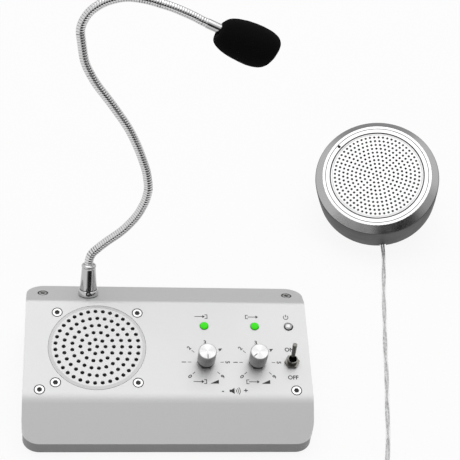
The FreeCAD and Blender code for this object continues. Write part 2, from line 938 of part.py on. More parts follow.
# The neck lies in the plane of its ferrule's axis. Its centre line, in X and height
# from the first joint, has a corner for each change of direction. A link runs from
# joint to joint.
NECK_JOINTS = {
    "lower": (0.0, 0.0),
    "middle": (34.6, 50.8),
    "upper": (-6.8, 135.8),
    "mic": (62.2, 152.2),
}
NECK_CORNERS = {
    "lower": [(1.6, 4.6), (8.7, 11.7), (19.5, 20.5), (28.4, 30.6), (33.4, 39.6), (34.95, 46.8)],
    "middle": [(33.8, 59.3), (28.6, 73.8), (22.0, 86.4), (10.6, 102.2), (1.2, 113.6), (-5.2, 125.3)],
    "upper": [
        (-8.3, 145.8),
        (-3.6, 155.0),
        (5.2, 161.4),
        (17.0, 165.2),
        (29.0, 163.4),
        (45.0, 158.2),
        (56.3, 154.7),
    ],
}


def neck_point(point):
    first_joint = S.ferrule_height + S.collar_height + S.neck_rise
    return V(point[0], 0, point[1] + float(first_joint))


def turn_between(before, corner, after):
    first = corner - before
    second = after - corner
    return first, second, first.getAngle(second)


def rounded_path(points, radii=None):
    """Straight runs joined by tangent arcs, each as large as its two runs allow."""
    edges = []
    start = points[0]
    for before, corner, after in zip(points, points[1:], points[2:]):
        first, second, turn = turn_between(before, corner, after)
        reach = 0.45 * min(first.Length, second.Length)
        radius = reach / math.tan(turn / 2)
        if radii is not None:
            radii.append(round(radius, 1))
        arc_start = corner - first.normalize() * reach
        arc_end = corner + second.normalize() * reach
        inward = (arc_start + arc_end) * 0.5 - corner
        depth = radius / math.cos(turn / 2) - radius
        arc_middle = corner + inward.normalize() * depth
        edges.append(Part.LineSegment(start, arc_start).toShape())
        edges.append(Part.Arc(arc_start, arc_middle, arc_end).toShape())
        start = arc_end
    edges.append(Part.LineSegment(start, points[-1]).toShape())
    return Part.Wire(edges)


def tube(path, radius):
    start = path.Edges[0]
    direction = start.tangentAt(start.FirstParameter)
    section = Part.Wire(Part.makeCircle(radius, start.Vertexes[0].Point, direction))
    return path.makePipeShell([section], True, False)


def make_neck():
    radius = float(S.neck_radius)
    gap = radius + float(S.neck_gap)
    first_joint = neck_point(NECK_JOINTS["lower"])
    root_low = float(S.ferrule_flange_height) + 9
    root = Part.makeCylinder(radius, first_joint.z - root_low, V(0, 0, root_low))
    root = root.fuse(Part.makeSphere(radius, first_joint))
    keep(holder("neck_root", root), "neck_root", NECK)
    names = list(NECK_JOINTS)
    for name, following in zip(names, names[1:]):
        joint = neck_point(NECK_JOINTS[name])
        end = neck_point(NECK_JOINTS[following])
        corners = [neck_point(p) for p in NECK_CORNERS[name]]
        lead = (corners[0] - joint).normalize()
        link = tube(rounded_path([joint + lead * gap] + corners + [end]), radius)
        link = link.fuse(Part.makeSphere(radius, end))
        keep(holder("neck_link_" + name, link), "neck_link_" + name, NECK)


def make_microphone():
    """The sleeve, its capsule and the foam ball, along the microphone's own axis."""
    joint = neck_point(NECK_JOINTS["mic"])
    mic_frame = NECK * FreeCAD.Placement(joint, turned(Y_AXIS, S.mic_angle + 90))
    gap = S.neck_radius + S.neck_gap
    sleeve = revolved(
        "mic_sleeve",
        [
            (0, gap),
            (S.sleeve_radius, gap),
            (S.sleeve_radius, S.capsule_cup_start),
            (S.capsule_cup_radius, S.capsule_cup_start + 1.5),
            (S.capsule_cup_radius, S.capsule_cup_end),
            (S.capsule_radius, S.capsule_cup_end),
            (S.capsule_radius, S.capsule_cup_end - 7),
            (0, S.capsule_cup_end - 7),
        ],
    )
    keep(sleeve, "mic_sleeve", mic_frame)
    capsule = cylinder("mic_capsule", S.capsule_radius, 7, z=S.capsule_cup_end - 7)
    keep(capsule, "mic_capsule", mic_frame)
    bore = S.capsule_cup_radius + S.foam_clearance
    end = S.foam_start + S.foam_length
    foam = revolved(
        "foam_windscreen",
        [
            (bore, S.foam_start),
            (S.foam_near_radius * 0.56, S.foam_start),
            (S.foam_near_radius * 0.8, S.foam_start + S.foam_length * 0.05),
            (S.foam_near_radius * 0.95, S.foam_start + S.foam_length * 0.13),
            (S.foam_near_radius, S.foam_start + S.foam_length * 0.25),
            (S.foam_far_radius, S.foam_start + S.foam_length * 0.5),
            (S.foam_far_radius * 0.98, S.foam_start + S.foam_length * 0.68),
            (S.foam_far_radius * 0.9, S.foam_start + S.foam_length * 0.84),
            (S.foam_far_radius * 0.72, S.foam_start + S.foam_length * 0.94),
            (S.foam_far_radius * 0.42, end),
            (0, end),
            (0, S.capsule_cup_end + S.foam_clearance),
            (bore, S.capsule_cup_end + S.foam_clearance),
        ],
    )
    keep(foam, "foam_windscreen", mic_frame)


def make_board():
    low = tray_floor + S.standoff_height
    board = box("BoardPlate", S.board_width, S.board_depth, S.board_thickness, S.board_x, S.board_y, low)
    inset = 4
    corners = [
        (S.board_x + inset, S.board_y + inset),
        (S.board_x + S.board_width - inset, S.board_y + inset),
        (S.board_x + inset, S.board_y + S.board_depth - inset),
        (S.board_x + S.board_width - inset, S.board_y + S.board_depth - inset),
    ]
    hole_radius = S.screw_radius + S.screw_fit
    holes = [
        cylinder(f"BoardHole{k}", hole_radius, 6, x, y, low - 2) for k, (x, y) in enumerate(corners)
    ]
    keep(cut("main_circuit_board", board, *holes), "main_circuit_board", CONSOLE)
    standoff = cut(
        "StandoffBlank",
        cylinder("StandoffPost", S.standoff_radius, S.standoff_height),
        cylinder("StandoffBore", hole_radius, S.standoff_height + 1, z=1.5),
    )
    frames = [CONSOLE * place(x, y, tray_floor) for x, y in corners]
    group("board_standoffs", standoff, frames)
    top = low + S.board_thickness
    screw = fuse(
        "BoardScrewBlank",
        cylinder("BoardScrewHead", S.screw_radius * 1.8, 1.6),
        cylinder("BoardScrewShank", S.screw_radius, 5, z=-5),
    )
    group("board_screws", screw, [CONSOLE * place(x, y, top) for x, y in corners])
    fins = [
        box(f"SinkFin{k}", 32, 1.6, 10, 18, 8 + 3.4 * k, top + 2) for k in range(5)
    ]
    sink = fuse("amplifier_heat_sink", box("SinkPlate", 32, 15.2, 2, 18, 8, top), *fins)
    keep(sink, "amplifier_heat_sink", CONSOLE)
    capacitor = cylinder("CapacitorBlank", 5, 11)
    group("filter_capacitors", capacitor, [CONSOLE * place(3, y, top) for y in (-12, 2)])


def make_sockets():
    nuts = []
    for name, frame in SOCKET_FRAMES.items():
        inlet = name == "power_inlet"
        bush_radius = S.inlet_bush_radius if inlet else S.jack_bush_radius
        bore_radius = S.inlet_bore_radius if inlet else S.jack_bore_radius
        side = bush_radius * 2.4
        case = box(name + "Case", side, side, S.jack_depth, -side / 2, -side / 2, -S.cover_wall - S.jack_depth)
        bush = cylinder(name + "Bush", bush_radius, S.cover_wall + S.jack_proud, z=-S.cover_wall)
        solid = fuse(name + "Solid", case, bush)
        bore = cylinder(name + "Bore", bore_radius, S.jack_depth + S.jack_proud, z=-S.jack_depth)
        if inlet:
            pin = cylinder("InletPin", S.inlet_pin_radius, S.jack_depth + 1, z=-S.jack_depth - 1)
            piece = fuse(name, cut("InletShell", solid, bore), pin)
        else:
            piece = cut(name, solid, bore)
        keep(piece, name, frame)
        nut = cut(
            name + "Nut",
            prism(name + "NutHex", bush_radius * 1.45, S.socket_nut_height),
            cylinder(name + "NutBore", bush_radius + S.screw_fit, 4, z=-1),
        )
        doc.recompute()
        nuts.append(nut.Shape.transformed(frame.toMatrix(), True))
    keep(holder("socket_nuts", Part.makeCompound(nuts)), "socket_nuts")


grille_top = S.unit_height - 0.2
grille_low = grille_top - S.unit_grille_thickness
ledge_low = S.unit_recess + S.unit_back_thickness
ledge_high = ledge_low + 3.6
ledge_radius = S.unit_rear_radius - S.unit_wall - S.unit_ledge
unit_screw_ring = S.unit_rear_radius - S.unit_wall - S.unit_screw_head_radius - 0.4
UNIT_SCREW_FRAMES = [
    place(rotation=turned(Z_AXIS, angle)) * place(unit_screw_ring) for angle in (30, 150, 270)
]


def unit_screw_holes(name):
    holes = []
    for k, frame in enumerate(UNIT_SCREW_FRAMES):
        hole = cylinder(f"{name}{k}", S.unit_screw_radius + S.screw_fit, ledge_low + 3)
        hole.Placement = frame
        holes.append(hole)
    return holes


def make_unit_housing():
    taper = S.unit_wide_radius - S.unit_rear_radius
    shell = revolved(
        "UnitShell",
        [
            (S.unit_rear_radius, 0),
            (S.unit_rear_radius + taper * 0.55, S.unit_wide_height * 0.4),
            (S.unit_rear_radius + taper * 0.9, S.unit_wide_height * 0.8),
            (S.unit_wide_radius, S.unit_wide_height),
            (S.unit_wide_radius - 0.4, S.unit_wide_height + 0.7),
            (S.unit_face_radius + 0.3, S.unit_height - 0.25),
            (S.unit_face_radius, S.unit_height),
            (S.unit_groove_radius + S.unit_groove_width / 2, S.unit_height),
            (S.unit_groove_radius, S.unit_height - S.unit_groove_width),
            (S.unit_groove_radius - S.unit_groove_width / 2, S.unit_height),
            (S.unit_grille_radius + S.unit_grille_fit, S.unit_height),
            (S.unit_grille_radius + S.unit_grille_fit, grille_low),
            (S.unit_grille_radius - S.unit_lip, grille_low),
            (S.unit_grille_radius - S.unit_lip, grille_low - 1.2),
            (S.unit_wide_radius - S.unit_wall * 2, S.unit_wide_height - 1.8),
            (S.unit_rear_radius - S.unit_wall, ledge_high + 2),
            (ledge_radius, ledge_high),
            (ledge_radius, ledge_low),
            (S.unit_rear_radius - S.unit_wall, ledge_low),
            (S.unit_rear_radius - S.unit_wall, 0),
        ],
    )
    notch = box(
        "CordNotch",
        S.unit_notch_width,
        S.unit_wall * 4,
        S.unit_notch_height + 1,
        -S.unit_notch_width / 2,
        -S.unit_rear_radius - S.unit_wall,
        -1,
    )
    notch.Placement = place(rotation=turned(Z_AXIS, S.unit_notch_angle)) * notch.Placement
    mic_x = S.unit_mic_radius * cosine(S.unit_mic_angle)
    mic_y = S.unit_mic_radius * sine(S.unit_mic_angle)
    mic_depth = S.unit_height - S.unit_wide_height + 2
    mic_hole = cylinder("UnitMicHole", 0.65, mic_depth + 1, mic_x, mic_y, S.unit_height - mic_depth)
    housing = cut("outer_housing", shell, notch, mic_hole, *unit_screw_holes("UnitScrewHole"))
    keep(housing, "outer_housing", UNIT)
    capsule = cylinder("outer_microphone", 2.1, 3, mic_x, mic_y, S.unit_wide_height - 4.4)
    keep(capsule, "outer_microphone", UNIT)
    disc = revolved(
        "UnitGrilleDisc",
        [
            (0, grille_low),
            (S.unit_grille_radius, grille_low),
            (S.unit_grille_radius, grille_top - 0.2),
            (S.unit_grille_radius - 0.2, grille_top),
            (S.unit_bead_radius + S.unit_groove_width / 2, grille_top),
            (S.unit_bead_radius, grille_top - S.unit_groove_width / 2),
            (S.unit_bead_radius - S.unit_groove_width / 2, grille_top),
            (0, grille_top),
        ],
    )
    holes = ring_holes(
        "UnitHoles",
        10,
        6,
        float(S.unit_hole_pitch),
        float(S.unit_hole_radius),
        float(grille_low) - 1,
        float(grille_top) + 1,
        place(),
    )
    keep(cut("outer_grille", disc, holes), "outer_grille", UNIT)


def make_unit_inside():
    rim_radius = S.unit_grille_radius - S.unit_lip - 4
    boot_top = S.unit_recess + S.boot_root_height
    depth = grille_low - S.unit_magnet_height - boot_top - S.unit_magnet_gap
    basket_outline, cone_outline = speaker_outlines(rim_radius, depth, S.speaker_sheet)
    ring = cut(
        "UnitSpeakerRing",
        cylinder("UnitSpeakerDisc", rim_radius + 3.4, S.speaker_sheet, z=-S.speaker_sheet),
        cylinder("UnitSpeakerOpening", rim_radius, 4, z=-2),
    )
    seat = UNIT * place(z=grille_low)
    basket = fuse("outer_speaker_basket", ring, revolved("UnitSpeakerBowl", basket_outline))
    keep(basket, "outer_speaker_basket", seat)
    keep(revolved("outer_speaker_cone", cone_outline), "outer_speaker_cone", seat)
    magnet = cylinder(
        "outer_speaker_magnet",
        S.magnet_radius,
        S.unit_magnet_height,
        z=-depth - S.unit_magnet_height,
    )
    keep(magnet, "outer_speaker_magnet", seat)


def make_unit_back():
    cover_radius = S.unit_rear_radius - S.unit_wall - 0.1
    cover = cut(
        "outer_back_cover",
        cylinder("UnitBackDisc", cover_radius, S.unit_back_thickness, z=S.unit_recess),
        cylinder("UnitBackCordHole", S.boot_root_radius, ledge_low + 1),
        *unit_screw_holes("UnitBackHole"),
    )
    keep(cover, "outer_back_cover", UNIT)
    screw = fuse(
        "UnitScrewBlank",
        cylinder("UnitScrewHead", S.unit_screw_head_radius, 1.3, z=S.unit_recess - 1.3),
        cylinder("UnitScrewShank", S.unit_screw_radius, 4.8, z=S.unit_recess - 0.1),
    )
    group("outer_back_screws", screw, [UNIT * frame for frame in UNIT_SCREW_FRAMES])


# The cord leaves the strain relief under the outer unit, comes out through the notch
# in the rim and runs along the desk beside the console. X, Y and Z from the console.
CORD_ROUTE = [
    (159.9, 166.2, 3.6),
    (159.4, 158.6, 2.2),
    (159.0, 149.6, 1.6),
    (158.9, 137.0, 1.6),
    (157.6, 122.0, 1.6),
    (154.4, 103.0, 1.6),
    (150.8, 80.0, 1.6),
    (147.8, 57.0, 1.6),
    (144.2, 33.0, 1.6),
    (141.6, 10.0, 1.6),
    (138.0, -12.0, 1.6),
    (135.4, -34.0, 1.6),
    (131.3, -56.0, 1.6),
    (127.2, -74.0, 1.6),
]


def coil_radius_out():
    return float(S.coil_mean_radius) + coil_pitch() * float(S.coil_turns_each_way) / 2


def coil_pitch():
    return float(S.cord_diameter + S.cord_gap)


def coil_state(turns):
    """Place and heading on the coil after so many turns: the spiral runs in and out again."""
    each_way = float(S.coil_turns_each_way)
    pitch = coil_pitch()
    leg = min(int(turns / each_way + 1e-9), 3)
    done = turns - leg * each_way
    inward = leg % 2 == 0
    travelled = done if inward else each_way - done
    radius = coil_radius_out() - pitch * travelled
    rate = (-pitch if inward else pitch) / (2 * math.pi)
    nearest = round(turns / each_way)
    from_reversal = turns - nearest * each_way
    level = leg
    climb_rate = 0.0
    if 0 < nearest < 4 and abs(from_reversal) < 0.25 - 1e-9:
        level = nearest - 1 + (from_reversal + 0.25) * 2
        climb_rate = pitch / math.pi
    if abs(from_reversal) < 1e-9 and 0 < nearest < 4:
        rate = 0.0
    angle = -2 * math.pi * turns
    height = float(S.cord_diameter) / 2 + level * pitch
    point = V(
        float(S.coil_x) + radius * math.cos(angle),
        float(S.coil_y) + radius * math.sin(angle),
        height,
    )
    heading = V(
        rate * math.cos(angle) + radius * math.sin(angle),
        rate * math.sin(angle) - radius * math.cos(angle),
        climb_rate,
    )
    return point, heading.normalize()


def arc_edge(start, corner, end):
    """The arc that leaves start towards a corner and reaches end, tangent to both sides."""
    middle = (start + end) * 0.5
    half_chord = (end - start).Length / 2
    half_turn = math.acos(min(1.0, half_chord / (corner - start).Length))
    inward = (corner - middle).normalize()
    return Part.Arc(start, middle + inward * (half_chord * math.tan(half_turn / 2)), end).toShape()


def biarc(start, start_heading, end, end_heading):
    chord = end - start
    a = 2 * (1 - start_heading.dot(end_heading))
    b = 2 * chord.dot(start_heading + end_heading)
    c = -chord.dot(chord)
    reach = (-b + math.sqrt(b * b - 4 * a * c)) / (2 * a)
    first_corner = start + start_heading * reach
    second_corner = end - end_heading * reach
    join = (first_corner + second_corner) * 0.5
    return [arc_edge(start, first_corner, join), arc_edge(join, second_corner, end)]


def least_gap(points, spare, diameter):
    """The smallest gap between stretches of a path that are not neighbours along it."""
    least = 1e9
    for i, point in enumerate(points):
        for other in points[i + spare :]:
            least = min(least, point.distanceToPoint(other))
    return least - diameter


def make_cord():
    radius = float(S.cord_diameter) / 2
    turns = 4 * float(S.coil_turns_each_way)
    quarter_count = round(turns * 4)
    states = [coil_state(turns * k / quarter_count) for k in range(quarter_count + 1)]
    edges = []
    for (start, start_heading), (end, end_heading) in zip(states, states[1:]):
        edges += biarc(start, start_heading, end, end_heading)
    straight = float(S.cord_diameter)
    coil_in = states[0][0] - states[0][1] * straight
    coil_out = states[-1][0] + states[-1][1] * straight
    path = Part.Wire(
        [Part.LineSegment(coil_in, states[0][0]).toShape()]
        + edges
        + [Part.LineSegment(states[-1][0], coil_out).toShape()]
    )
    coil = tube(path, radius)
    keep(holder("outer_cord_coil", coil), "outer_cord_coil", CONSOLE)
    samples = []
    for edge in edges:
        samples += edge.discretize(8)[:-1]
    per_turn = int(len(samples) / turns)
    print("coil length", round(path.Length), "least gap", round(least_gap(samples, per_turn // 2, 2 * radius), 2))
    print("coil volume / section x length", coil.Volume / (math.pi * radius**2 * path.Length))

    route = [V(*point) for point in CORD_ROUTE] + [coil_in - states[0][1] * 11, coil_in]
    radii = []
    route_path = rounded_path(route, radii)
    lead = tube(route_path, radius)
    keep(holder("outer_cord", lead), "outer_cord", CONSOLE)
    print("cord radii", radii, "length", round(route_path.Length))
    print("cord volume / section x length", lead.Volume / (math.pi * radius**2 * route_path.Length))

    plug_z = float(S.plug_radius)
    tail = [coil_out, coil_out + states[-1][1] * 10] + [
        coil_out + V(*step) for step in ((-3.4, -20.5, -4.2), (-11.0, -28.6, -7.6))
    ]
    tail.append(V(coil_out.x - 21.0, coil_out.y - 31.6, plug_z))
    tail.append(V(coil_out.x - 29.0, coil_out.y - 31.9, plug_z))
    tail_radii = []
    tail_path = rounded_path(tail, tail_radii)
    tail_tube = tube(tail_path, radius)
    keep(holder("outer_cord_tail", tail_tube), "outer_cord_tail", CONSOLE)
    print("tail radii", tail_radii, "length", round(tail_path.Length))
    print("tail volume / section x length", tail_tube.Volume / (math.pi * radius**2 * tail_path.Length))
    return tail


def make_boot():
    """A rubber strain relief: a post down to the desk, and a tapered nose that the cord leaves."""
    root_radius = float(S.boot_root_radius)
    recess = float(S.unit_recess)
    neck = Part.makeCone(root_radius - 0.6, root_radius + 2, 8, V(0, 0, recess), -Z_AXIS)
    foot = Part.makeCone(root_radius + 2, root_radius + 0.6, 20, V(0, 0, recess - 8), -Z_AXIS)
    root = Part.makeCylinder(root_radius, float(S.boot_root_height), V(0, 0, recess))
    flange = Part.makeCylinder(root_radius + 1.6, 1.5, V(0, 0, float(ledge_low)))
    post = neck.fuse([foot, root, flange])
    post.Placement = UNIT
    exit_point = CONSOLE.multVec(V(*CORD_ROUTE[0]))
    direction = (CONSOLE.multVec(V(*CORD_ROUTE[1])) - exit_point).normalize()
    nose_length = 11.0
    nose_start = exit_point - direction * nose_length
    nose = Part.makeCone(4.2, float(S.cord_diameter) * 0.72, nose_length, nose_start, direction)
    desk = Part.makeBox(400, 400, 40, V(-200, -200, -40))
    boot = post.fuse(nose).cut(desk)
    keep(holder("outer_cord_boot", boot), "outer_cord_boot")


def make_plug(tail):
    end = CONSOLE.multVec(tail[-1])
    before = CONSOLE.multVec(tail[-2])
    direction = (end - before).normalize()
    rotation = FreeCAD.Rotation(Z_AXIS, direction)
    frame = FreeCAD.Placement(end, rotation)
    body = revolved(
        "plug_body",
        [
            (0, 0),
            (S.cord_diameter * 0.72, 0),
            (S.plug_radius * 0.75, 8),
            (S.plug_radius, 9),
            (S.plug_radius, S.plug_length - 0.6),
            (S.plug_radius - 0.6, S.plug_length),
            (0, S.plug_length),
        ],
    )
    keep(body, "plug_body", frame)
    tip_radius = S.plug_tip_radius
    tip_end = S.plug_length + S.plug_tip_length
    tip = revolved(
        "plug_tip",
        [
            (0, S.plug_length),
            (tip_radius, S.plug_length),
            (tip_radius, tip_end - 4.4),
            (tip_radius - 0.5, tip_end - 3.8),
            (tip_radius, tip_end - 2.6),
            (0.5, tip_end),
            (0, tip_end),
        ],
    )
    keep(tip, "plug_tip", frame)


make_cover()
make_tray()
make_feet()
make_screws()
make_pillars()
make_speaker()
make_lamps()
make_controls()
make_toggle()
make_ferrule()
make_neck()
make_microphone()
make_board()
make_sockets()
make_unit_housing()
make_unit_inside()
make_unit_back()
make_boot()
make_plug(make_cord())
doc.recompute()

for item in doc.Objects:
    if "Invalid" in item.State or "Error" in item.State:
        raise RuntimeError(f"{item.Label} did not build: {item.State}")
for piece in kept:
    if piece.Shape.isNull() or not piece.Shape.isValid() or not piece.Shape.Solids:
        raise RuntimeError(f"{piece.Label} has no valid shape")

os.makedirs("parts", exist_ok=True)
for piece in kept:
    piece.Shape.exportStep(f"parts/{piece.Label}.step")
print(len(kept), "nodes")
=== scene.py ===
import math

import bpy
from mathutils import Matrix, Vector


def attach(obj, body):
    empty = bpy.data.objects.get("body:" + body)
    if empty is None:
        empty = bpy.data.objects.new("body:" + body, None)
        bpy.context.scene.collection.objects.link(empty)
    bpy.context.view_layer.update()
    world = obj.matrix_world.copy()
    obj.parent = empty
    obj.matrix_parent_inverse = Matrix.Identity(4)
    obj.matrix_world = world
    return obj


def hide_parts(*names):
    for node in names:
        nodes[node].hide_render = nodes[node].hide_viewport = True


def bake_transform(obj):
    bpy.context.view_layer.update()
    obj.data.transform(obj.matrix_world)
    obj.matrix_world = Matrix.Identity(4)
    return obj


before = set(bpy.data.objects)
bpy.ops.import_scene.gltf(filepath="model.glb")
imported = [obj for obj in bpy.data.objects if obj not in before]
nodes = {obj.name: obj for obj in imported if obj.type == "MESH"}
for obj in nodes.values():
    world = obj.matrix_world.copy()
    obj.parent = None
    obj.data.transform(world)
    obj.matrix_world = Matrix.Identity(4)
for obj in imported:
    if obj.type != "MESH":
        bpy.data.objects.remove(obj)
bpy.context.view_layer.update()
scene = bpy.context.scene
MM = 0.001

# The row frame's origin, in millimetres from the console's middle at desk height
SHIFT = Vector((55.85, 79.73, 0))


def row(x, y, z):
    """A point measured from the console's middle, in the row frame in metres."""
    return (Vector((x, y, z)) - SHIFT) * MM


# Camera at the photograph's viewing angle
FOCAL_PIXELS = 1356.381
PICTURE_PIXELS = 460
SENSOR_WIDTH = 36
CAMERA_PLACE = (-58.342, -555.549, 637.485)
ELEVATION, YAW, ROLL = (math.radians(a) for a in (41.778, 8.856, 6.933))


def make_camera():
    forward = Vector(
        (
            math.sin(YAW) * math.cos(ELEVATION),
            math.cos(YAW) * math.cos(ELEVATION),
            -math.sin(ELEVATION),
        )
    )
    level_right = Vector((math.cos(YAW), -math.sin(YAW), 0))
    level_up = level_right.cross(forward)
    right = level_right * math.cos(ROLL) + level_up * math.sin(ROLL)
    up = level_up * math.cos(ROLL) - level_right * math.sin(ROLL)
    data = bpy.data.cameras.new("Camera")
    data.sensor_width = SENSOR_WIDTH
    data.lens = FOCAL_PIXELS * SENSOR_WIDTH / PICTURE_PIXELS
    data.clip_start = 0.01
    data.clip_end = 30
    camera = bpy.data.objects.new("Camera", data)
    turn = Matrix((right, up, -forward)).transposed().to_4x4()
    camera.matrix_world = Matrix.Translation(row(*CAMERA_PLACE)) @ turn
    scene.collection.objects.link(camera)
    scene.camera = camera


make_camera()

# Frames on the console's faces: X to the right, Y up the face, Z out of it.
REAR_BEND = (0, 36.843, 41.023)
PANEL_ANGLE, STRIP_ANGLE = math.radians(12.0), math.radians(19.69)
PANEL = Matrix.Translation(row(*REAR_BEND)) @ Matrix.Rotation(PANEL_ANGLE, 4, "X")
STRIP = Matrix.Translation(row(*REAR_BEND)) @ Matrix.Rotation(-STRIP_ANGLE, 4, "X")


def frame_on_panel(x, down, height=0.0):
    """Right of the middle, down from the rear bend and above the panel, in millimetres."""
    return PANEL @ Matrix.Translation(Vector((x, -down, height)) * MM)


def frame_on_strip(x, back):
    """Right of the middle and back from the rear bend, in millimetres."""
    return STRIP @ Matrix.Translation(Vector((x, back, 0)) * MM)


# Frames of the ferrule and of the outer unit, with Z along their axes
NECK = frame_on_strip(-48.4, 9.4)
UNIT_PLACE, UNIT_RADIUS = (157.5, 171.7), 41.5
UNIT_LEAN, UNIT_HEADING = math.radians(27.75), math.radians(-27.01)
UNIT = (
    Matrix.Translation(row(*UNIT_PLACE, UNIT_RADIUS * math.sin(UNIT_LEAN)))
    @ Matrix.Rotation(UNIT_HEADING, 4, "Z")
    @ Matrix.Rotation(UNIT_LEAN, 4, "X")
)


# The cord: out of the strain relief, through the notch in the rim, along the desk
# beside the console, into one neat coil, and on to its plug.
CORD_DIAMETER = 3.2
CORD_ROUTE = [
    (159.9, 166.2, 3.6),
    (159.4, 158.6, 2.2),
    (159.0, 149.6, 1.6),
    (158.9, 137.0, 1.6),
    (157.6, 122.0, 1.6),
    (154.4, 103.0, 1.6),
    (150.8, 80.0, 1.6),
    (147.8, 57.0, 1.6),
    (144.2, 33.0, 1.6),
    (141.6, 10.0, 1.6),
    (138.0, -12.0, 1.6),
    (135.4, -34.0, 1.6),
    (131.3, -56.0, 1.6),
    (127.2, -74.0, 1.6),
]
COIL_CENTRE = (99.5, -104.0)
COIL_PITCH = 3.65
COIL_LEGS = 4
COIL_TURNS_EACH_WAY = 3.25
COIL_POINTS_PER_TURN = 24
COIL_MEAN_RADIUS = 19.2
COIL_OUTER_RADIUS = COIL_MEAN_RADIUS + COIL_PITCH * COIL_TURNS_EACH_WAY / 2
# The cord climbs to the next layer within this part of a turn, before and after it turns back.
CLIMB_TURNS = 0.25


def coil_point(turns):
    """Place on the coil after so many turns: the spiral runs in and out again, layer on layer."""
    leg = min(int(turns / COIL_TURNS_EACH_WAY + 1e-9), COIL_LEGS - 1)
    done = turns - leg * COIL_TURNS_EACH_WAY
    travelled = done if leg % 2 == 0 else COIL_TURNS_EACH_WAY - done
    radius = COIL_OUTER_RADIUS - COIL_PITCH * travelled
    nearest = round(turns / COIL_TURNS_EACH_WAY)
    from_reversal = turns - nearest * COIL_TURNS_EACH_WAY
    level = leg
    if 0 < nearest < COIL_LEGS and abs(from_reversal) < CLIMB_TURNS:
        level = nearest - 1 + (from_reversal + CLIMB_TURNS) / (2 * CLIMB_TURNS)
    angle = -2 * math.pi * turns
    return Vector(
        (
            COIL_CENTRE[0] + radius * math.cos(angle),
            COIL_CENTRE[1] + radius * math.sin(angle),
            CORD_DIAMETER / 2 + level * COIL_PITCH,
        )
    )


def cord_control_points():
    """Control points of the lead, then of the coil, then of the tail."""
    turns = COIL_LEGS * COIL_TURNS_EACH_WAY
    count = round(turns * COIL_POINTS_PER_TURN)
    coil = [coil_point(turns * k / count) for k in range(count + 1)]
    slope = COIL_PITCH / (2 * math.pi) / COIL_OUTER_RADIUS
    heading_in = Vector((-slope, -1, 0)).normalized()
    heading_out = Vector((slope, -1, 0)).normalized()
    coil_in = coil[0] - heading_in * CORD_DIAMETER
    coil_out = coil[-1] + heading_out * CORD_DIAMETER
    lead = [Vector(p) for p in CORD_ROUTE] + [coil_in - heading_in * 11, coil_in]
    tail = [
        coil_out,
        coil_out + heading_out * 10,
        coil_out + Vector((-3.4, -20.5, -4.2)),
        coil_out + Vector((-11.0, -28.6, -7.6)),
        Vector((coil_out.x - 21.0, coil_out.y - 31.6, 4.0)),
        Vector((coil_out.x - 29.0, coil_out.y - 31.9, 4.0)),
    ]
    return lead + coil + tail


def nurbs(name, points, radius):
    """A round cord along control points in millimetres. Each point carries the real radius."""
    data = bpy.data.curves.new(name, "CURVE")
    data.dimensions = "3D"
    data.bevel_depth = 1.0
    data.bevel_resolution = 4
    data.resolution_u = 4
    data.use_fill_caps = True
    spline = data.splines.new("NURBS")
    spline.points.add(len(points) - 1)
    for point, place in zip(spline.points, points):
        point.co = (*row(*place), 1)
        point.radius = radius * MM
    spline.order_u = 3
    spline.use_endpoint_u = True
    piece = bpy.data.objects.new(name, data)
    scene.collection.objects.link(piece)
    return piece


cord_jacket = nurbs("cord_jacket", cord_control_points(), CORD_DIAMETER / 2)
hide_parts("outer_cord", "outer_cord_coil", "outer_cord_tail")
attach(cord_jacket, "console_and_outer_unit")


STRAND_RADIUS = 0.6
STRAND_OFFSET = 0.78
STRAND_STEP = 2.0
TWIST_LENGTH = 62.0


def cord_centre_line():
    """Points read from the cord's own spline, in metres, each more than a step from the last."""
    bare = cord_jacket.data.copy()
    bare.bevel_depth = 0.0
    bare.resolution_u = 8
    probe = bpy.data.objects.new("cord_centre_line", bare)
    mesh = bpy.data.meshes.new_from_object(probe)
    line = [mesh.vertices[0].co.copy()]
    for vertex in mesh.vertices:
        if (vertex.co - line[-1]).length > STRAND_STEP * MM:
            line.append(vertex.co.copy())
    bpy.data.objects.remove(probe)
    bpy.data.meshes.remove(mesh)
    bpy.data.curves.remove(bare)
    return line


def twisted_strands():
    """The two silver strands that twist round each other inside the clear jacket."""
    path = cord_centre_line()
    strands = []
    for k in range(2):
        data = bpy.data.curves.new(f"cord_strand_{k + 1}", "CURVE")
        data.dimensions = "3D"
        data.bevel_depth = 1.0
        data.bevel_resolution = 2
        spline = data.splines.new("POLY")
        spline.points.add(len(path) - 1)
        travelled = 0.0
        side = Vector((1, 0, 0))
        for i, (target, point) in enumerate(zip(spline.points, path)):
            ahead = path[min(i + 1, len(path) - 1)]
            behind = path[max(i - 1, 0)]
            along = (ahead - behind).normalized()
            side = (side - along * side.dot(along)).normalized()
            other = along.cross(side)
            travelled += (point - behind).length / MM
            angle = 2 * math.pi * travelled / TWIST_LENGTH + math.pi * k
            arm = side * math.cos(angle) + other * math.sin(angle)
            target.co = (*(point + arm * STRAND_OFFSET * MM), 1)
            target.radius = STRAND_RADIUS * MM
        strand = bpy.data.objects.new(data.name, data)
        scene.collection.objects.link(strand)
        strand.parent = cord_jacket
        strands.append(strand)
    return strands


strands = twisted_strands()


# Materials
LENS_RADIUS = 2.75


def new_material(name):
    material = bpy.data.materials.new(name)
    material.use_nodes = True
    tree = material.node_tree
    shader = tree.nodes["Principled BSDF"]
    return material, tree, shader


def node(tree, kind, **values):
    made = tree.nodes.new(kind)
    for key, value in values.items():
        if key in made.inputs:
            made.inputs[key].default_value = value
        else:
            setattr(made, key, value)
    return made


def combined(tree, operation, first, second):
    """One value worked out from two, each of them linked or a plain number."""
    made = node(tree, "ShaderNodeMath", operation=operation)
    for socket, value in zip(made.inputs, (first, second)):
        if isinstance(value, bpy.types.NodeSocket):
            tree.links.new(value, socket)
        else:
            socket.default_value = value
    return made.outputs["Value"]


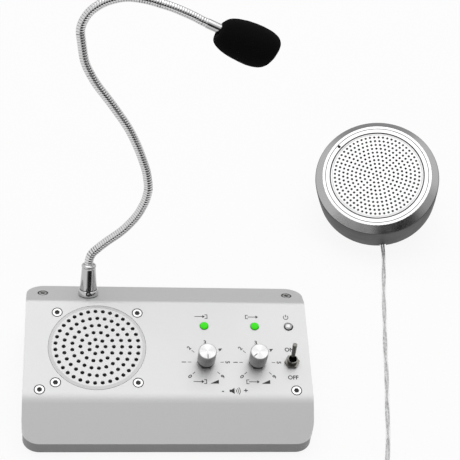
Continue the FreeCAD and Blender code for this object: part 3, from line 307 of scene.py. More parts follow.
def coordinates(tree, stretch=(1, 1, 1)):
    place = tree.nodes.new("ShaderNodeTexCoord")
    mapping = tree.nodes.new("ShaderNodeMapping")
    mapping.inputs["Scale"].default_value = stretch
    tree.links.new(place.outputs["Object"], mapping.inputs["Vector"])
    return mapping.outputs["Vector"]


def noise(tree, vector, scale, detail=4.0):
    made = node(tree, "ShaderNodeTexNoise", Scale=scale, Detail=detail, Roughness=0.55)
    tree.links.new(vector, made.inputs["Vector"])
    return made.outputs["Fac"]


def ranged(tree, value, low, high, from_low=0.3, from_high=0.7):
    made = tree.nodes.new("ShaderNodeMapRange")
    made.inputs["From Min"].default_value = from_low
    made.inputs["From Max"].default_value = from_high
    made.inputs["To Min"].default_value = low
    made.inputs["To Max"].default_value = high
    tree.links.new(value, made.inputs["Value"])
    return made.outputs["Result"]


def tinted(tree, value, dark, light):
    ramp = tree.nodes.new("ShaderNodeValToRGB")
    ramp.color_ramp.elements[0].position = 0.3
    ramp.color_ramp.elements[1].position = 0.7
    ramp.color_ramp.elements[0].color = (*dark, 1)
    ramp.color_ramp.elements[1].color = (*light, 1)
    tree.links.new(value, ramp.inputs["Fac"])
    return ramp.outputs["Color"]


def bumped(tree, shader, value, strength, distance):
    bump = node(tree, "ShaderNodeBump", Strength=strength, Distance=distance)
    tree.links.new(value, bump.inputs["Height"])
    tree.links.new(bump.outputs["Normal"], shader.inputs["Normal"])


def surface(
    name,
    color,
    rough,
    metal=0.0,
    spread=0.05,
    grain=900.0,
    bump=0.15,
    stretch=(1, 1, 1),
    rough_spread=0.06,
):
    """A procedural finish: fine grain in colour, roughness and height over one base colour."""
    material, tree, shader = new_material(name)
    vector = coordinates(tree, stretch)
    fine = noise(tree, vector, grain)
    wide = noise(tree, vector, grain / 30, 3.0)
    dark = [c * (1 - spread) for c in color]
    light = [min(1, c * (1 + spread)) for c in color]
    tree.links.new(tinted(tree, fine, dark, light), shader.inputs["Base Color"])
    rough_low, rough_high = max(0.02, rough - rough_spread), min(1, rough + rough_spread)
    tree.links.new(ranged(tree, wide, rough_low, rough_high), shader.inputs["Roughness"])
    bumped(tree, shader, fine, bump, 0.04 * MM)
    shader.inputs["Metallic"].default_value = metal
    return material


def grey(value):
    return (value, value, value)


def steel(name, color, rough, **changes):
    """A finish of bare metal."""
    return surface(name, color, rough, metal=1.0, **changes)


coat = {"metal": 0.4, "spread": 0.02, "grain": 2600, "bump": 0.2, "rough_spread": 0.008}
paint = surface("casing_paint", grey(0.635), 0.42, **coat)
# A darker copy of the casing paint for the embossed ring: painted shade.
emboss_painted_shade = surface("emboss_painted_shade", grey(0.57), 0.42, **coat)
tray_paint = surface("tray_paint", grey(0.27), 0.45, spread=0.03, grain=2600, bump=0.25)
back_paint = surface("unit_back_paint", grey(0.05), 0.5, spread=0.12, grain=2200, bump=0.25)
ink = surface("panel_ink", grey(0.014), 0.6, spread=0.3, grain=3000, bump=0.1)

plated = steel("plated_steel", grey(0.56), 0.3, grain=1500, bump=0.1)
bright = steel("bright_chrome", grey(0.5), 0.12, spread=0.02, grain=700, bump=0.05, rough_spread=0.03)
neck_metal = steel("neck_chrome", grey(0.66), 0.1, spread=0.06, grain=1200, bump=0.1)
# Near-black metal for the neck's grooves: painted shade.
groove_painted_shade = steel("neck_groove_painted_shade", grey(0.07), 0.3, spread=0.1, grain=1200, bump=0.1)
switch_metal = steel("switch_nickel", (0.14, 0.137, 0.128), 0.16, grain=1200)
pressed_steel = steel("pressed_steel", grey(0.42), 0.38, spread=0.08)
brass = steel("brass", (0.6, 0.44, 0.16), 0.3)
sink_metal = steel("sink_aluminium", grey(0.5), 0.4, stretch=(1, 12, 1))
can_metal = steel("can_steel", grey(0.45), 0.34, spread=0.08, grain=1300)
# The outer unit's metal in three tones: this one for the bevel, a darker copy for the wall as painted
# shade, and a lighter copy for the face as painted light.
unit_metal = steel("unit_silver", grey(0.44), 0.24, spread=0.035, grain=1800, bump=0.12)
unit_wall_metal = steel("unit_wall", grey(0.12), 0.62, spread=0.035, grain=1800, bump=0.12)
black_metal = surface("blackened_steel", grey(0.02), 0.35, metal=0.6, spread=0.2, grain=1400)

satin = {"spread": 0.02, "grain": 2600, "bump": 0.1}
lit_unit_face_metal = surface("unit_face_painted_light", grey(0.68), 0.34, metal=0.8, **satin)
unit_grille_metal = surface("unit_grille", grey(0.72), 0.4, metal=0.6, **satin)

rubber = surface("black_rubber", grey(0.018), 0.68, spread=0.2, grain=1800, bump=0.3)
black_plastic = surface("black_plastic", grey(0.015), 0.42, spread=0.15, grain=2200, bump=0.25)
cloth = surface("speaker_cloth", grey(0.006), 0.95, spread=0.5, grain=3800, bump=0.6)
paper = surface("speaker_paper", grey(0.014), 0.9, spread=0.3, grain=1300, bump=0.5)
ferrite = surface("ferrite", grey(0.05), 0.62, spread=0.2, grain=1500, bump=0.35)
board_green = surface("board_green", (0.02, 0.16, 0.06), 0.4, spread=0.15, grain=500, bump=0.2)
sleeve_plastic = surface("capacitor_sleeve", (0.015, 0.02, 0.04), 0.3, spread=0.1)
strand_metal = surface("silver_strand", grey(0.85), 0.35, spread=0.5, grain=420, bump=0.5)
clear_lens = surface("clear_lens", grey(0.5), 0.1, metal=0.8, spread=0.1, grain=600, bump=0.2)


def knob_finish(name, dark, light):
    """Turned aluminium: fine rings round the axis, and three fans of painted highlight across them,
    lighter and darker in the base colour.
    """
    material, tree, shader = new_material(name)
    vector = coordinates(tree)
    fine = noise(tree, vector, 2400)
    round_axis = node(tree, "ShaderNodeTexGradient", gradient_type="RADIAL")
    tree.links.new(vector, round_axis.inputs["Vector"])
    turn = combined(tree, "MULTIPLY", round_axis.outputs["Fac"], 3 * 2 * math.pi)
    # The three fans are a painted highlight: the base colour turns lighter and darker round the axis.
    wave = node(tree, "ShaderNodeMath", operation="SINE")
    tree.links.new(turn, wave.inputs[0])
    painted_highlight = ranged(tree, wave.outputs["Value"], 0.3, 0.7, -1.0, 1.0)
    tree.links.new(tinted(tree, painted_highlight, dark, light), shader.inputs["Base Color"])
    tree.links.new(ranged(tree, fine, 0.24, 0.34), shader.inputs["Roughness"])
    bumped(tree, shader, fine, 0.15, 0.03 * MM)
    shader.inputs["Metallic"].default_value = 1.0
    shader.inputs["Anisotropic"].default_value = 0.7
    tangent = node(tree, "ShaderNodeTangent", direction_type="RADIAL", axis="Z")
    tree.links.new(tangent.outputs["Tangent"], shader.inputs["Tangent"])
    return material


def lamp_finish(name, middle, rim):
    """A lit lens: the colour glows from inside, and is darker toward the rim as painted shade."""
    material, tree, shader = new_material(name)
    vector = coordinates(tree)
    fine = noise(tree, vector, 900, 2.0)
    flat = node(tree, "ShaderNodeVectorMath", operation="MULTIPLY")
    flat.inputs[1].default_value = (1, 1, 0)
    tree.links.new(vector, flat.inputs[0])
    length = node(tree, "ShaderNodeVectorMath", operation="LENGTH")
    tree.links.new(flat.outputs["Vector"], length.inputs[0])
    lens_edge = LENS_RADIUS * MM
    # Toward the rim the colour and the glow darken: painted shade.
    ramp = tree.nodes.new("ShaderNodeValToRGB")
    ramp.color_ramp.elements[0].color = (*middle, 1)
    ramp.color_ramp.elements[1].color = (*rim, 1)
    shaded_toward_rim = ranged(tree, length.outputs["Value"], 0.0, 1.0, 0.82 * lens_edge, lens_edge)
    tree.links.new(shaded_toward_rim, ramp.inputs["Fac"])
    tree.links.new(ramp.outputs["Color"], shader.inputs["Base Color"])
    tree.links.new(ramp.outputs["Color"], shader.inputs["Emission Color"])
    tree.links.new(ranged(tree, fine, 0.2, 0.28), shader.inputs["Roughness"])
    shader.inputs["Emission Strength"].default_value = 0.42
    shader.inputs["Specular IOR Level"].default_value = 0.2
    return material


def jacket_finish():
    """A clear soft plastic jacket."""
    material, tree, shader = new_material("clear_jacket")
    fine = noise(tree, coordinates(tree), 700)
    tree.links.new(tinted(tree, fine, grey(0.8), grey(0.9)), shader.inputs["Base Color"])
    tree.links.new(ranged(tree, fine, 0.14, 0.24), shader.inputs["Roughness"])
    shader.inputs["Alpha"].default_value = 0.13
    shader.inputs["IOR"].default_value = 1.45
    return material


def foam_finish():
    """Black open-cell foam: small pores in height and tone."""
    material, tree, shader = new_material("black_foam")
    vector = coordinates(tree)
    pores = node(tree, "ShaderNodeTexVoronoi", Scale=1300)
    tree.links.new(vector, pores.inputs["Vector"])
    fine = noise(tree, vector, 2500)
    tree.links.new(tinted(tree, fine, grey(0.0022), grey(0.0045)), shader.inputs["Base Color"])
    shader.inputs["Roughness"].default_value = 1.0
    shader.inputs["Specular IOR Level"].default_value = 0.08
    bumped(tree, shader, pores.outputs["Distance"], 0.5, 0.2 * MM)
    return material


turned = knob_finish("turned_top_painted_sheen", grey(0.42), grey(0.5))
# A darker copy of the turned finish for the knobs' sides: painted shade.
turned_side_painted_shade = knob_finish("turned_side_painted_shade", grey(0.3), grey(0.36))
green_lens = lamp_finish("lit_green_lens", (0.035, 0.66, 0.004), (0.012, 0.16, 0.006))
jacket = jacket_finish()
foam_black = foam_finish()

FINISH_OF_NODE = {
    paint: ["top_cover"],
    tray_paint: ["base_tray"],
    plated: [
        "case_screws", "speaker_screws", "foot_screws", "board_screws", "outer_back_screws",
        "speaker_nuts", "case_pillars",
    ],
    rubber: ["rubber_feet", "outer_cord_boot"],
    cloth: ["speaker_gauze"],
    pressed_steel: ["speaker_basket"],
    paper: ["speaker_cone", "outer_speaker_cone"],
    ferrite: ["speaker_magnet", "outer_speaker_magnet"],
    board_green: ["main_circuit_board"],
    brass: ["board_standoffs"],
    sink_metal: ["amplifier_heat_sink"],
    sleeve_plastic: ["filter_capacitors"],
    green_lens: ["inside_call_lamp", "outside_call_lamp"],
    clear_lens: ["power_lamp"],
    can_metal: [
        "internal_volume_control", "external_volume_control", "toggle_body",
        "internal_volume_shaft", "external_volume_shaft",
        "mic_capsule",
    ],
    black_metal: ["volume_control_nuts", "neck_set_screw"],
    switch_metal: ["toggle_bush", "toggle_nut", "toggle_lever"],
    turned: ["internal_volume_knob", "external_volume_knob"],
    bright: [
        "neck_collar", "neck_ferrule", "neck_nut", "mic_sleeve", "socket_nuts", "plug_tip",
    ],
    neck_metal: ["neck_root", "neck_link_lower", "neck_link_middle", "neck_link_upper"],
    foam_black: ["foam_windscreen"],
    black_plastic: [
        "power_inlet", "outer_unit_jack", "record_jack", "plug_body",
        "outer_microphone", "outer_speaker_basket",
    ],
    unit_metal: ["outer_housing"],
    unit_grille_metal: ["outer_grille"],
    back_paint: ["outer_back_cover"],
    jacket: ["outer_cord", "outer_cord_coil", "outer_cord_tail"],
}


def dress(piece, material):
    piece.data.materials.clear()
    piece.data.materials.append(material)


for material, names in FINISH_OF_NODE.items():
    for name in names:
        dress(nodes[name], material)
dress(cord_jacket, jacket)
for strand in strands:
    dress(strand, strand_metal)


def crisp(piece, angle=28):
    """Shades smoothly, with the edges sharp where two faces meet at more than the angle."""
    with bpy.context.temp_override(object=piece, selected_editable_objects=[piece]):
        bpy.ops.object.shade_smooth_by_angle(angle=math.radians(angle))


for piece in nodes.values():
    for face in piece.data.polygons:
        face.use_smooth = True
    crisp(piece)


# Meshes made of rings
def mesh_piece(name, verts, faces, material, smooth=True):
    mesh = bpy.data.meshes.new(name)
    mesh.from_pydata(verts, [], faces)
    mesh.validate()
    for face in mesh.polygons:
        face.use_smooth = smooth
    piece = bpy.data.objects.new(name, mesh)
    scene.collection.objects.link(piece)
    dress(piece, material)
    return piece


def ring_angles(segments):
    return [2 * math.pi * k / segments for k in range(segments)]


def ring_point(radius, angle, height):
    return Vector((radius * math.cos(angle), radius * math.sin(angle), height)) * MM


def ring_faces(rings, segments):
    """The faces between so many rings of vertices, then the first and the last cap."""
    faces = []
    for i in range(rings - 1):
        for k in range(segments):
            a, b = i * segments + k, i * segments + (k + 1) % segments
            faces.append((a, b, b + segments, a + segments))
    faces.append(tuple(range(segments - 1, -1, -1)))
    faces.append(tuple((rings - 1) * segments + k for k in range(segments)))
    return faces


def swept(name, centres, radii, side, segments, material):
    """A tube through centres in the row frame, with a radius at each."""
    verts = []
    last = len(centres) - 1
    for i, (centre, radius) in enumerate(zip(centres, radii)):
        along = (centres[min(i + 1, last)] - centres[max(i - 1, 0)]).normalized()
        across = (side - along * side.dot(along)).normalized()
        other = along.cross(across)
        for angle in ring_angles(segments):
            verts.append(centre + (across * math.cos(angle) + other * math.sin(angle)) * radius)
    return mesh_piece(name, verts, ring_faces(len(centres), segments), material)


def turned_piece(name, outline, matrix, material, segments):
    """A closed piece turned about its own Z, from an outline in radius and height."""
    verts = [ring_point(r, angle, z) for r, z in outline for angle in ring_angles(segments)]
    piece = mesh_piece(name, verts, ring_faces(len(outline), segments), material)
    piece.matrix_world = matrix
    return piece


def turned_ring(name, outline, matrix, material, segments=160):
    """A ring turned about its own Z, from the corners of its section in radius and height."""
    verts = [ring_point(r, angle, z) for r, z in outline for angle in ring_angles(segments)]
    faces = []
    for i in range(len(outline)):
        low, high = i * segments, (i + 1) % len(outline) * segments
        for k in range(segments):
            ahead = (k + 1) % segments
            faces.append((low + k, low + ahead, high + ahead, high + k))
    piece = mesh_piece(name, verts, faces, material, smooth=False)
    piece.matrix_world = matrix
    return piece


# The gooseneck: one ribbed hose, bent along the plane of its ferrule.
FIRST_JOINT_HEIGHT = 23.2
NECK_JOINTS = [(0.0, 0.0), (34.6, 50.8), (-6.8, 135.8), (62.2, 152.2)]
NECK_CORNERS = [
    [(1.6, 4.6), (9.1, 11.6), (20.5, 20.2), (29.0, 30.4), (33.4, 39.8), (34.8, 46.8)],
    [(33.2, 59.3), (27.9, 73.6), (21.6, 86.2), (10.2, 102.0), (1.0, 113.5), (-5.2, 125.3)],
    [
        (-8.3, 145.8), (-3.6, 155.0), (5.2, 161.4), (17.0, 164.9),
        (29.0, 163.9), (45.0, 159.6), (56.3, 155.1),
    ],
]
NECK_RADIUS = 2.75
NECK_IN_FERRULE = 8.0
NECK_IN_SLEEVE = 4.2
NECK_SEGMENTS = 24
RIB_PITCH = 1.55
RIB_DEPTH = 0.1
NECK_STEP = RIB_PITCH / 8
MIC_ANGLE = math.radians(22.8)
MIC_DIRECTION = Vector((math.cos(MIC_ANGLE), 0, -math.sin(MIC_ANGLE)))
# Each length of the neck: its node, its two bodies, and the bend's reach either side of its joint
NECK_LENGTHS = [
    ("neck_root", "console_and_outer_unit", "neck_lower", 7.0),
    ("neck_link_lower", "neck_lower", "neck_middle", 14.0),
    ("neck_link_middle", "neck_middle", "neck_upper", 14.0),
    ("neck_link_upper", "neck_upper", "microphone", 4.0),
]


def neck_point(p, q):
    """A point in the neck's plane, from p forward and q above the first joint."""
    return NECK @ (Vector((p, 0, q + FIRST_JOINT_HEIGHT)) * MM)


def rounded_points(points, step):
    """Points along straight runs joined by tangent arcs, about a step apart."""
    out = [points[0].copy()]

    def run_to(end):
        start = out[-1].copy()
        count = max(1, round((end - start).length / step))
        out.extend(start.lerp(end, k / count) for k in range(1, count + 1))

    for before, corner, after in zip(points, points[1:], points[2:]):
        first, second = corner - before, after - corner
        turn = first.angle(second)
        reach = 0.45 * min(first.length, second.length)
        radius = reach / math.tan(turn / 2)
        arc_start = corner - first.normalized() * reach
        run_to(arc_start)
        inward = (second.normalized() - first.normalized()).normalized()
        centre = corner + inward * (radius / math.cos(turn / 2))
        arm = arc_start - centre
        axis = first.cross(second).normalized()
        count = max(2, round(radius * turn / step))
        for k in range(1, count + 1):
            out.append(centre + Matrix.Rotation(turn * k / count, 3, axis) @ arm)
    run_to(points[-1])
    return out


def neck_line():
    """Places along the neck in its own plane, with the distance of each from the first."""
    corners = [Vector((0, 0, -NECK_IN_FERRULE))]
    for joint, bends in zip(NECK_JOINTS, NECK_CORNERS + [[]]):
        corners += [Vector((p, 0, q)) for p, q in [joint] + bends]
    corners.append(corners[-1] + MIC_DIRECTION * NECK_IN_SLEEVE)
    places = rounded_points(corners, NECK_STEP)
    line, distance = [places[0]], [0.0]
    for place in places[1:]:
        gone = (place - line[-1]).length
        if gone > 0.6 * NECK_STEP:
            distance.append(distance[-1] + gone)
            line.append(place)
    return line, distance


def make_neck():
    """The ribbed hose, cut halfway between its joints. Its grooves are painted dark, as painted shade
    in the creases between the ribs.
    """
    line, distance = neck_line()

    def nearest(p, q):
        target = Vector((p, 0, q))
        return min(range(len(line)), key=lambda i: (line[i] - target).length)

    joints = [nearest(*joint) for joint in NECK_JOINTS]
    cuts = [0] + [(a + b) // 2 for a, b in zip(joints, joints[1:])] + [len(line) - 1]
    side = NECK.to_3x3() @ Vector((0, 1, 0))
    for k, (hidden, body, next_body, reach) in enumerate(NECK_LENGTHS):
        first, last = cuts[k], cuts[k + 1]
        centres, radii = [], []
        for i in range(first, last + 1):
            phase = 2 * math.pi * distance[i] / RIB_PITCH
            radii.append((NECK_RADIUS - RIB_DEPTH * (0.5 - 0.5 * math.cos(phase)) ** 3) * MM)
            centres.append(neck_point(line[i].x, line[i].z))
        piece = swept(f"neck_hose_{k + 1}", centres, radii, side, NECK_SEGMENTS, neck_metal)
        # The faces at the bottom of each groove get the darker metal: painted shade.
        piece.data.materials.append(groove_painted_shade)
        for face in piece.data.polygons:
            along = first + face.index // NECK_SEGMENTS
            phase = 2 * math.pi * (distance[along] + NECK_STEP / 2) / RIB_PITCH
            if along < last and math.cos(phase) < -0.9:
                face.material_index = 1
        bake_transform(piece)
        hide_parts(hidden)


make_neck()

# The foam windscreen: a soft barrel, smaller and rounder at the neck's end.
MIC_FRAME = (
    Matrix.Translation(neck_point(*NECK_JOINTS[3]))
    @ STRIP.to_3x3().to_4x4()
    @ Matrix.Rotation(MIC_ANGLE + math.pi / 2, 4, "Y")
)
FOAM_OUTLINE = [
    (3.2, 11.2),
    (4.6, 10.9),
    (6.2, 11.2),
    (7.6, 12.0),
    (8.9, 13.5),
    (10.1, 15.8),
    (11.1, 18.7),
    (11.9, 22.6),
    (12.4, 27.0),
    (12.6, 32.0),
    (12.45, 36.6),
    (11.8, 40.4),
    (10.6, 43.8),
    (8.6, 46.0),
    (5.7, 47.2),
    (3.0, 47.5),
]


def smooth_outline(points, passes):
    """Corner cutting that keeps the two ends."""
    for _ in range(passes):
        cut = [points[0]]
        for (a, b), (c, d) in zip(points, points[1:]):
            cut.append((a * 0.75 + c * 0.25, b * 0.75 + d * 0.25))
            cut.append((a * 0.25 + c * 0.75, b * 0.25 + d * 0.75))
        cut.append(points[-1])
        points = cut
    return points


def make_foam():
    """The windscreen stands a little aslant and sags, but its hollow stays straight."""
    mouth, cup = 3.2, 5.5
    hollow = [(0.2, 27.3), (cup, 27.3), (cup, 14.2), (mouth, 12.6)]
    tip = (0.2, FOAM_OUTLINE[-1][1])
    segments = 96
    outline = hollow + smooth_outline(FOAM_OUTLINE, 2) + [tip]
    foam = turned_piece("foam_ball", outline, MIC_FRAME, foam_black, segments)
    slant, sag, run_in = 0.175, 0.5, 2.8
    for vertex in foam.data.vertices[len(hollow) * segments :]:
        share = min(1, max(0, vertex.co.xy.length / MM - mouth) / run_in)
        vertex.co.z -= slant * vertex.co.x * share
        vertex.co.x += sag * MM * share
    ripple = bpy.data.textures.new("foam_ripple", "CLOUDS")
    ripple.noise_scale = 6 * MM
    modifier = foam.modifiers.new("ripple", "DISPLACE")
    modifier.texture = ripple
    modifier.strength = 0.4 * MM
    modifier.mid_level = 1.0
    modifier.texture_coords = "GLOBAL"
    with bpy.context.temp_override(object=foam):
        bpy.ops.object.modifier_apply(modifier=modifier.name)
    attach(foam, "windscreen")
    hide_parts("foam_windscreen")


make_foam()


# Printing on the panel
SPEAKER_MIDDLE = (-42.8, 32.9)
KNOB_X = {"internal": 22.5, "external": 53.8}
CONTROL_DOWN = 43.0
PRINT_HEIGHT = 0.035
STROKE = 0.42
# Radii of a dial's digits and of its tick lines, for a usual number and for the nearer ones
DIGIT_RADIUS, TICK_RADIUS = 13.8, 10.6
NEARER = {1: (13.1, 9.9), 4: (12.5, 9.1), 5: (13.1, 9.9)}


def printed(piece, matrix):
    piece.matrix_world = matrix
    dress(piece, ink)
    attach(piece, "console_and_outer_unit")


def word(name, text, x, down, size, turn=0.0):
    data = bpy.data.curves.new(name, "FONT")
    data.body = text
    data.size = size * MM
    data.offset = 0.09 * MM
    data.align_x = "CENTER"
    data.align_y = "CENTER"
    data.extrude = 0.01 * MM
    piece = bpy.data.objects.new(name, data)
    scene.collection.objects.link(piece)
    place = frame_on_panel(x, down, PRINT_HEIGHT)
    printed(piece, place @ Matrix.Rotation(turn, 4, "Z"))


def prism(name, outline, low, high):
    """A flat inked shape between two heights, from its outline in millimetres."""
    count = len(outline)
    verts = [Vector((a, b, z)) * MM for z in (low, high) for a, b in outline]
    faces = [tuple(range(count - 1, -1, -1)), tuple(range(count, 2 * count))]
    faces += [(k, (k + 1) % count, (k + 1) % count + count, k + count) for k in range(count)]
    return mesh_piece(name, verts, faces, ink, smooth=False)


def print_shape(name, outline, x, down, turn=0.0):
    """A printed shape from its outline, in millimetres about its own middle."""
    place = frame_on_panel(x, down, PRINT_HEIGHT - 0.01)
    printed(prism(name, outline, 0.0, 0.02), place @ Matrix.Rotation(turn, 4, "Z"))


def bar(name, x, down, length, width, turn=0.0):
    a, b = length / 2, width / 2
    print_shape(name, [(-a, -b), (a, -b), (a, b), (-a, b)], x, down, turn)


def arc_strip(name, x, down, radius, width, start, end):
    """A printed arc, with its angles in degrees."""
    count = 16 if end - start < 360 else 96
    steps = [math.radians(start + (end - start) * k / count) for k in range(count + 1)]
    outer, inner = radius + width / 2, radius - width / 2
    outline = [(outer * math.cos(t), outer * math.sin(t)) for t in steps]
    outline += [(inner * math.cos(t), inner * math.sin(t)) for t in reversed(steps)]
    print_shape(name, outline, x, down)


def make_dials():
    """The digits 0 to 6 round each knob, with a tick line at each but 3, and the switch's words."""
    for name, centre in KNOB_X.items():
        for number in range(7):
            digit_radius, tick_radius = NEARER.get(number, (DIGIT_RADIUS, TICK_RADIUS))
            angle = math.radians(225 - 45 * number)
            right, up = math.cos(angle), math.sin(angle)
            x, down = centre + digit_radius * right, CONTROL_DOWN - digit_radius * up
            word(f"dial_{name}_{number}", str(number), x, down, 3.6, angle - math.pi / 2)
            if number != 3:
                x, down = centre + tick_radius * right, CONTROL_DOWN - tick_radius * up
                bar(f"tick_{name}_{number}", x, down, 2.1, 0.36, angle)
    word("switch_on", "ON", 74.2, 34.0, 3.7)
    word("switch_off", "OFF", 75.0, 53.4, 3.7)


def arrow(name, x, down, length):
    """A printed arrow that points right."""
    head = 1.5
    bar(name + "_shaft", x - head / 2, down, length - head, STROKE)
    tip = x + length / 2
    print_shape(name + "_head", [(-head, -1.1), (0, 0), (-head, 1.1)], tip, down)


def door(name, x, down, opening):
    """A printed bracket, open to the left or to the right."""
    high, deep = 3.0, 1.5
    bar(name + "_post", x, down, STROKE, high)
    for k in (-1, 1):
        edge = (high - STROKE) / 2 * k
        bar(f"{name}_arm{k + 1}", x + deep / 2 * opening, down + edge, deep, STROKE)


def symbol(name, x, down, side):
    """An arrow that points right: into a bracket on its right, or out of one on its left."""
    door(name + "_room", x + 3.4 * side, down, -side)
    arrow(name + "_arrow", x - 1.2 * side, down, 6.4)


def make_symbols():
    """Plain printed symbols: in, out, power, louder and loudspeaker, and a painted shadow line in ink
    at the speaker's edge.
    """
    lamp_row, knob_row, speaker_row = 10.6, 56.4, 62.6
    symbol("lamp_in", 21.2, lamp_row, 1)
    symbol("lamp_out", 51.9, lamp_row, -1)
    power_x = 73.7
    arc_strip("power_ring", power_x, lamp_row + 0.1, 1.45, STROKE, 125, 415)
    bar("power_line", power_x, lamp_row - 1.0, STROKE, 1.9)
    wedge = [(-2.6, -1.3), (2.6, -1.3), (2.6, 1.3)]
    for name, x, side in (("internal", 22.2, 1), ("external", 53.2, -1)):
        symbol("dial_" + name, x - 3.2, knob_row, side)
        print_shape(f"wedge_{name}", wedge, x + 5.0, knob_row)
    speaker_x = 38.5
    sign = [(-2.6, -0.8), (-1.4, -0.8), (0.4, -2), (0.4, 2), (-1.4, 0.8), (-2.6, 0.8)]
    print_shape("speaker_sign", sign, speaker_x, speaker_row)
    # A thin ink ring at the embossed ring's edge: painted shadow, not print.
    arc_strip("speaker_edge_painted_shadow", *SPEAKER_MIDDLE, 29.35, 0.14, 0, 360)
    for k, radius in enumerate((1.6, 2.7, 3.8)):
        arc_strip(f"speaker_wave{k}", speaker_x, speaker_row, radius, STROKE, -38, 38)
    word("volume_less", "-", speaker_x - 6.6, speaker_row, 4.6)
    word("volume_more", "+", speaker_x + 7.2, speaker_row, 4.6)


make_dials()
make_symbols()


# Details of the console
SCREW_X = 76.4
PANEL_SCREW_DOWN, STRIP_SCREW_BACK = 62.1, 10.8
SPEAKER_SCREW_REACH = 24.4
LAMP_DOWN = 17.4
POWER_LAMP_X = 74.8
SOCKET_SIDES = 6


def hexagon_radius(across_corners, angle):
    sector = 2 * math.pi / SOCKET_SIDES
    from_flat = angle % sector - sector / 2
    return across_corners * math.cos(sector / 2) / math.cos(from_flat)


def screw_piece(name, matrix, length, rim):
    """A countersunk screw whose socket has six sides, with a painted shadow line round its head,
    painted shadow in its socket and painted shade on the socket's edge.
    """
    head, socket, shank = 3.28, 1.36, 1.6
    # The shadow finish is black ink, painted shadow. The edge finish is a darker metal, painted shade
    # on the socket's chamfer.
    plain, shadow, edge = range(3)
    # Radius, height, whether the ring has six sides, and the finish of the faces after it
    rings = [
        (0.05, -length, False, plain),
        (shank, -length, False, plain),
        (shank, -1.1, False, plain),
        (head, -0.1, False, shadow),
        (head, 0.0, False, shadow),
        (rim + 0.06, -0.26, False, plain),
        (rim, -0.06, False, plain),
        (rim - 0.1, 0.0, False, plain),
        (socket + 0.42, 0.02, False, plain),
        (socket + 0.34, 0.0, True, edge),
        (socket - 0.1, -0.3, True, shadow),
        (socket - 0.16, -0.72, True, shadow),
        (socket * 0.5, -0.86, True, shadow),
        (0.05, -0.92, True, shadow),
    ]
    segments = 48
    verts = []
    for radius, height, sided, _ in rings:
        for angle in ring_angles(segments):
            r = hexagon_radius(radius, angle) if sided else radius
            verts.append(ring_point(r, angle, height))
    finishes = [ring[3] for ring in rings[:-1] for _ in range(segments)] + [plain, shadow]
    screw = mesh_piece(name, verts, ring_faces(len(rings), segments), plated)
    screw.data.materials.append(ink)
    screw.data.materials.append(switch_metal)
    for face, finish in zip(screw.data.polygons, finishes):
        face.material_index = finish
    screw.matrix_world = matrix
    crisp(screw)
    return screw


def make_screws():
    sides = (-1, 1)
    on_panel = [frame_on_panel(SCREW_X * k, PANEL_SCREW_DOWN) for k in sides]
    on_strip = [frame_on_strip(SCREW_X * k, STRIP_SCREW_BACK) for k in sides]
    x, down = SPEAKER_MIDDLE
    reach = SPEAKER_SCREW_REACH
    round_speaker = [frame_on_panel(x + reach * i, down + reach * j) for i in sides for j in sides]
    # Name, length, radius of the plated rim inside the painted shadow ring, first number and frames of
    # each group. The strip's screws have a wider painted shadow ring.
    groups = [
        ("case_screws", 12.0, 2.8, 0, on_panel),
        ("case_screws", 12.0, 2.35, 2, on_strip),
        ("speaker_screws", 8.4, 2.8, 0, round_speaker),
    ]
    for label, length, rim, first, frames in groups:
        for k, matrix in enumerate(frames, first):
            spun = matrix @ Matrix.Rotation(0.35 + 0.8 * k, 4, "Z")
            screw = screw_piece(f"{label}_{k + 1}", spun, length, rim)
            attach(screw, "console_and_outer_unit")
            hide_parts(label)


def make_knobs():
    """Turned knobs with a dished top, a pointer line, a black band at the foot as painted shade, and
    sides in a darker copy of the top's finish as painted shade.
    """
    # How high the black band of painted shade at each knob's foot reaches, in millimetres.
    painted_shade_band_heights = {"internal": 3.8, "external": 3.2}
    pointer_angles = {"internal": 270, "external": 223}
    bore, skirt, barrel, top_edge = 3.02, 5.25, 5.45, 12.9
    upper_outline = [
        (barrel, 12.8),
        (5.36, 13.02),
        (5.15, 13.18),
        (5.02, 13.18),
        (4.9, 13.08),
        (0.05, 13.08),
        (0.05, 11.25),
        (bore, 11.25),
    ]
    pointer_outline = [(2.2, -0.23), (5.0, -0.23), (5.0, 0.23), (2.2, 0.23)]
    for name, centre in KNOB_X.items():
        matrix = frame_on_panel(centre, CONTROL_DOWN)
        foot = painted_shade_band_heights[name]
        outline = [(bore, 2.35), (skirt, 2.35), (skirt, foot - 0.1), (barrel, foot)] + upper_outline
        knob = turned_piece(f"{name}_knob_turned", outline, matrix, turned, 128)
        knob.data.materials.append(ink)
        knob.data.materials.append(turned_side_painted_shade)
        # Faces below the band's top get black ink as painted shade, and the barrel's sides get the
        # darker copy, painted shade too.
        for face in knob.data.polygons:
            if face.center.z < foot * MM:
                face.material_index = 1
            elif face.center.z < top_edge * MM:
                face.material_index = 2
        crisp(knob)
        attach(knob, f"{name}_volume_dial")
        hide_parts(f"{name}_volume_knob")
        pointer = prism(f"pointer_{name}", pointer_outline, 13.06, 13.11)
        turn = math.radians(pointer_angles[name])
        pointer.matrix_world = matrix @ Matrix.Rotation(turn, 4, "Z")
        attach(pointer, f"{name}_volume_dial")


def dome(radius, low, rise, angles):
    """The outline of a dome over a height, at angles in degrees."""
    turns = [math.radians(angle) for angle in angles]
    return [(radius * math.cos(t), low + rise * math.sin(t)) for t in turns]


LAMP_ROOT = [(0.05, -4.17), (LENS_RADIUS, -4.17)]


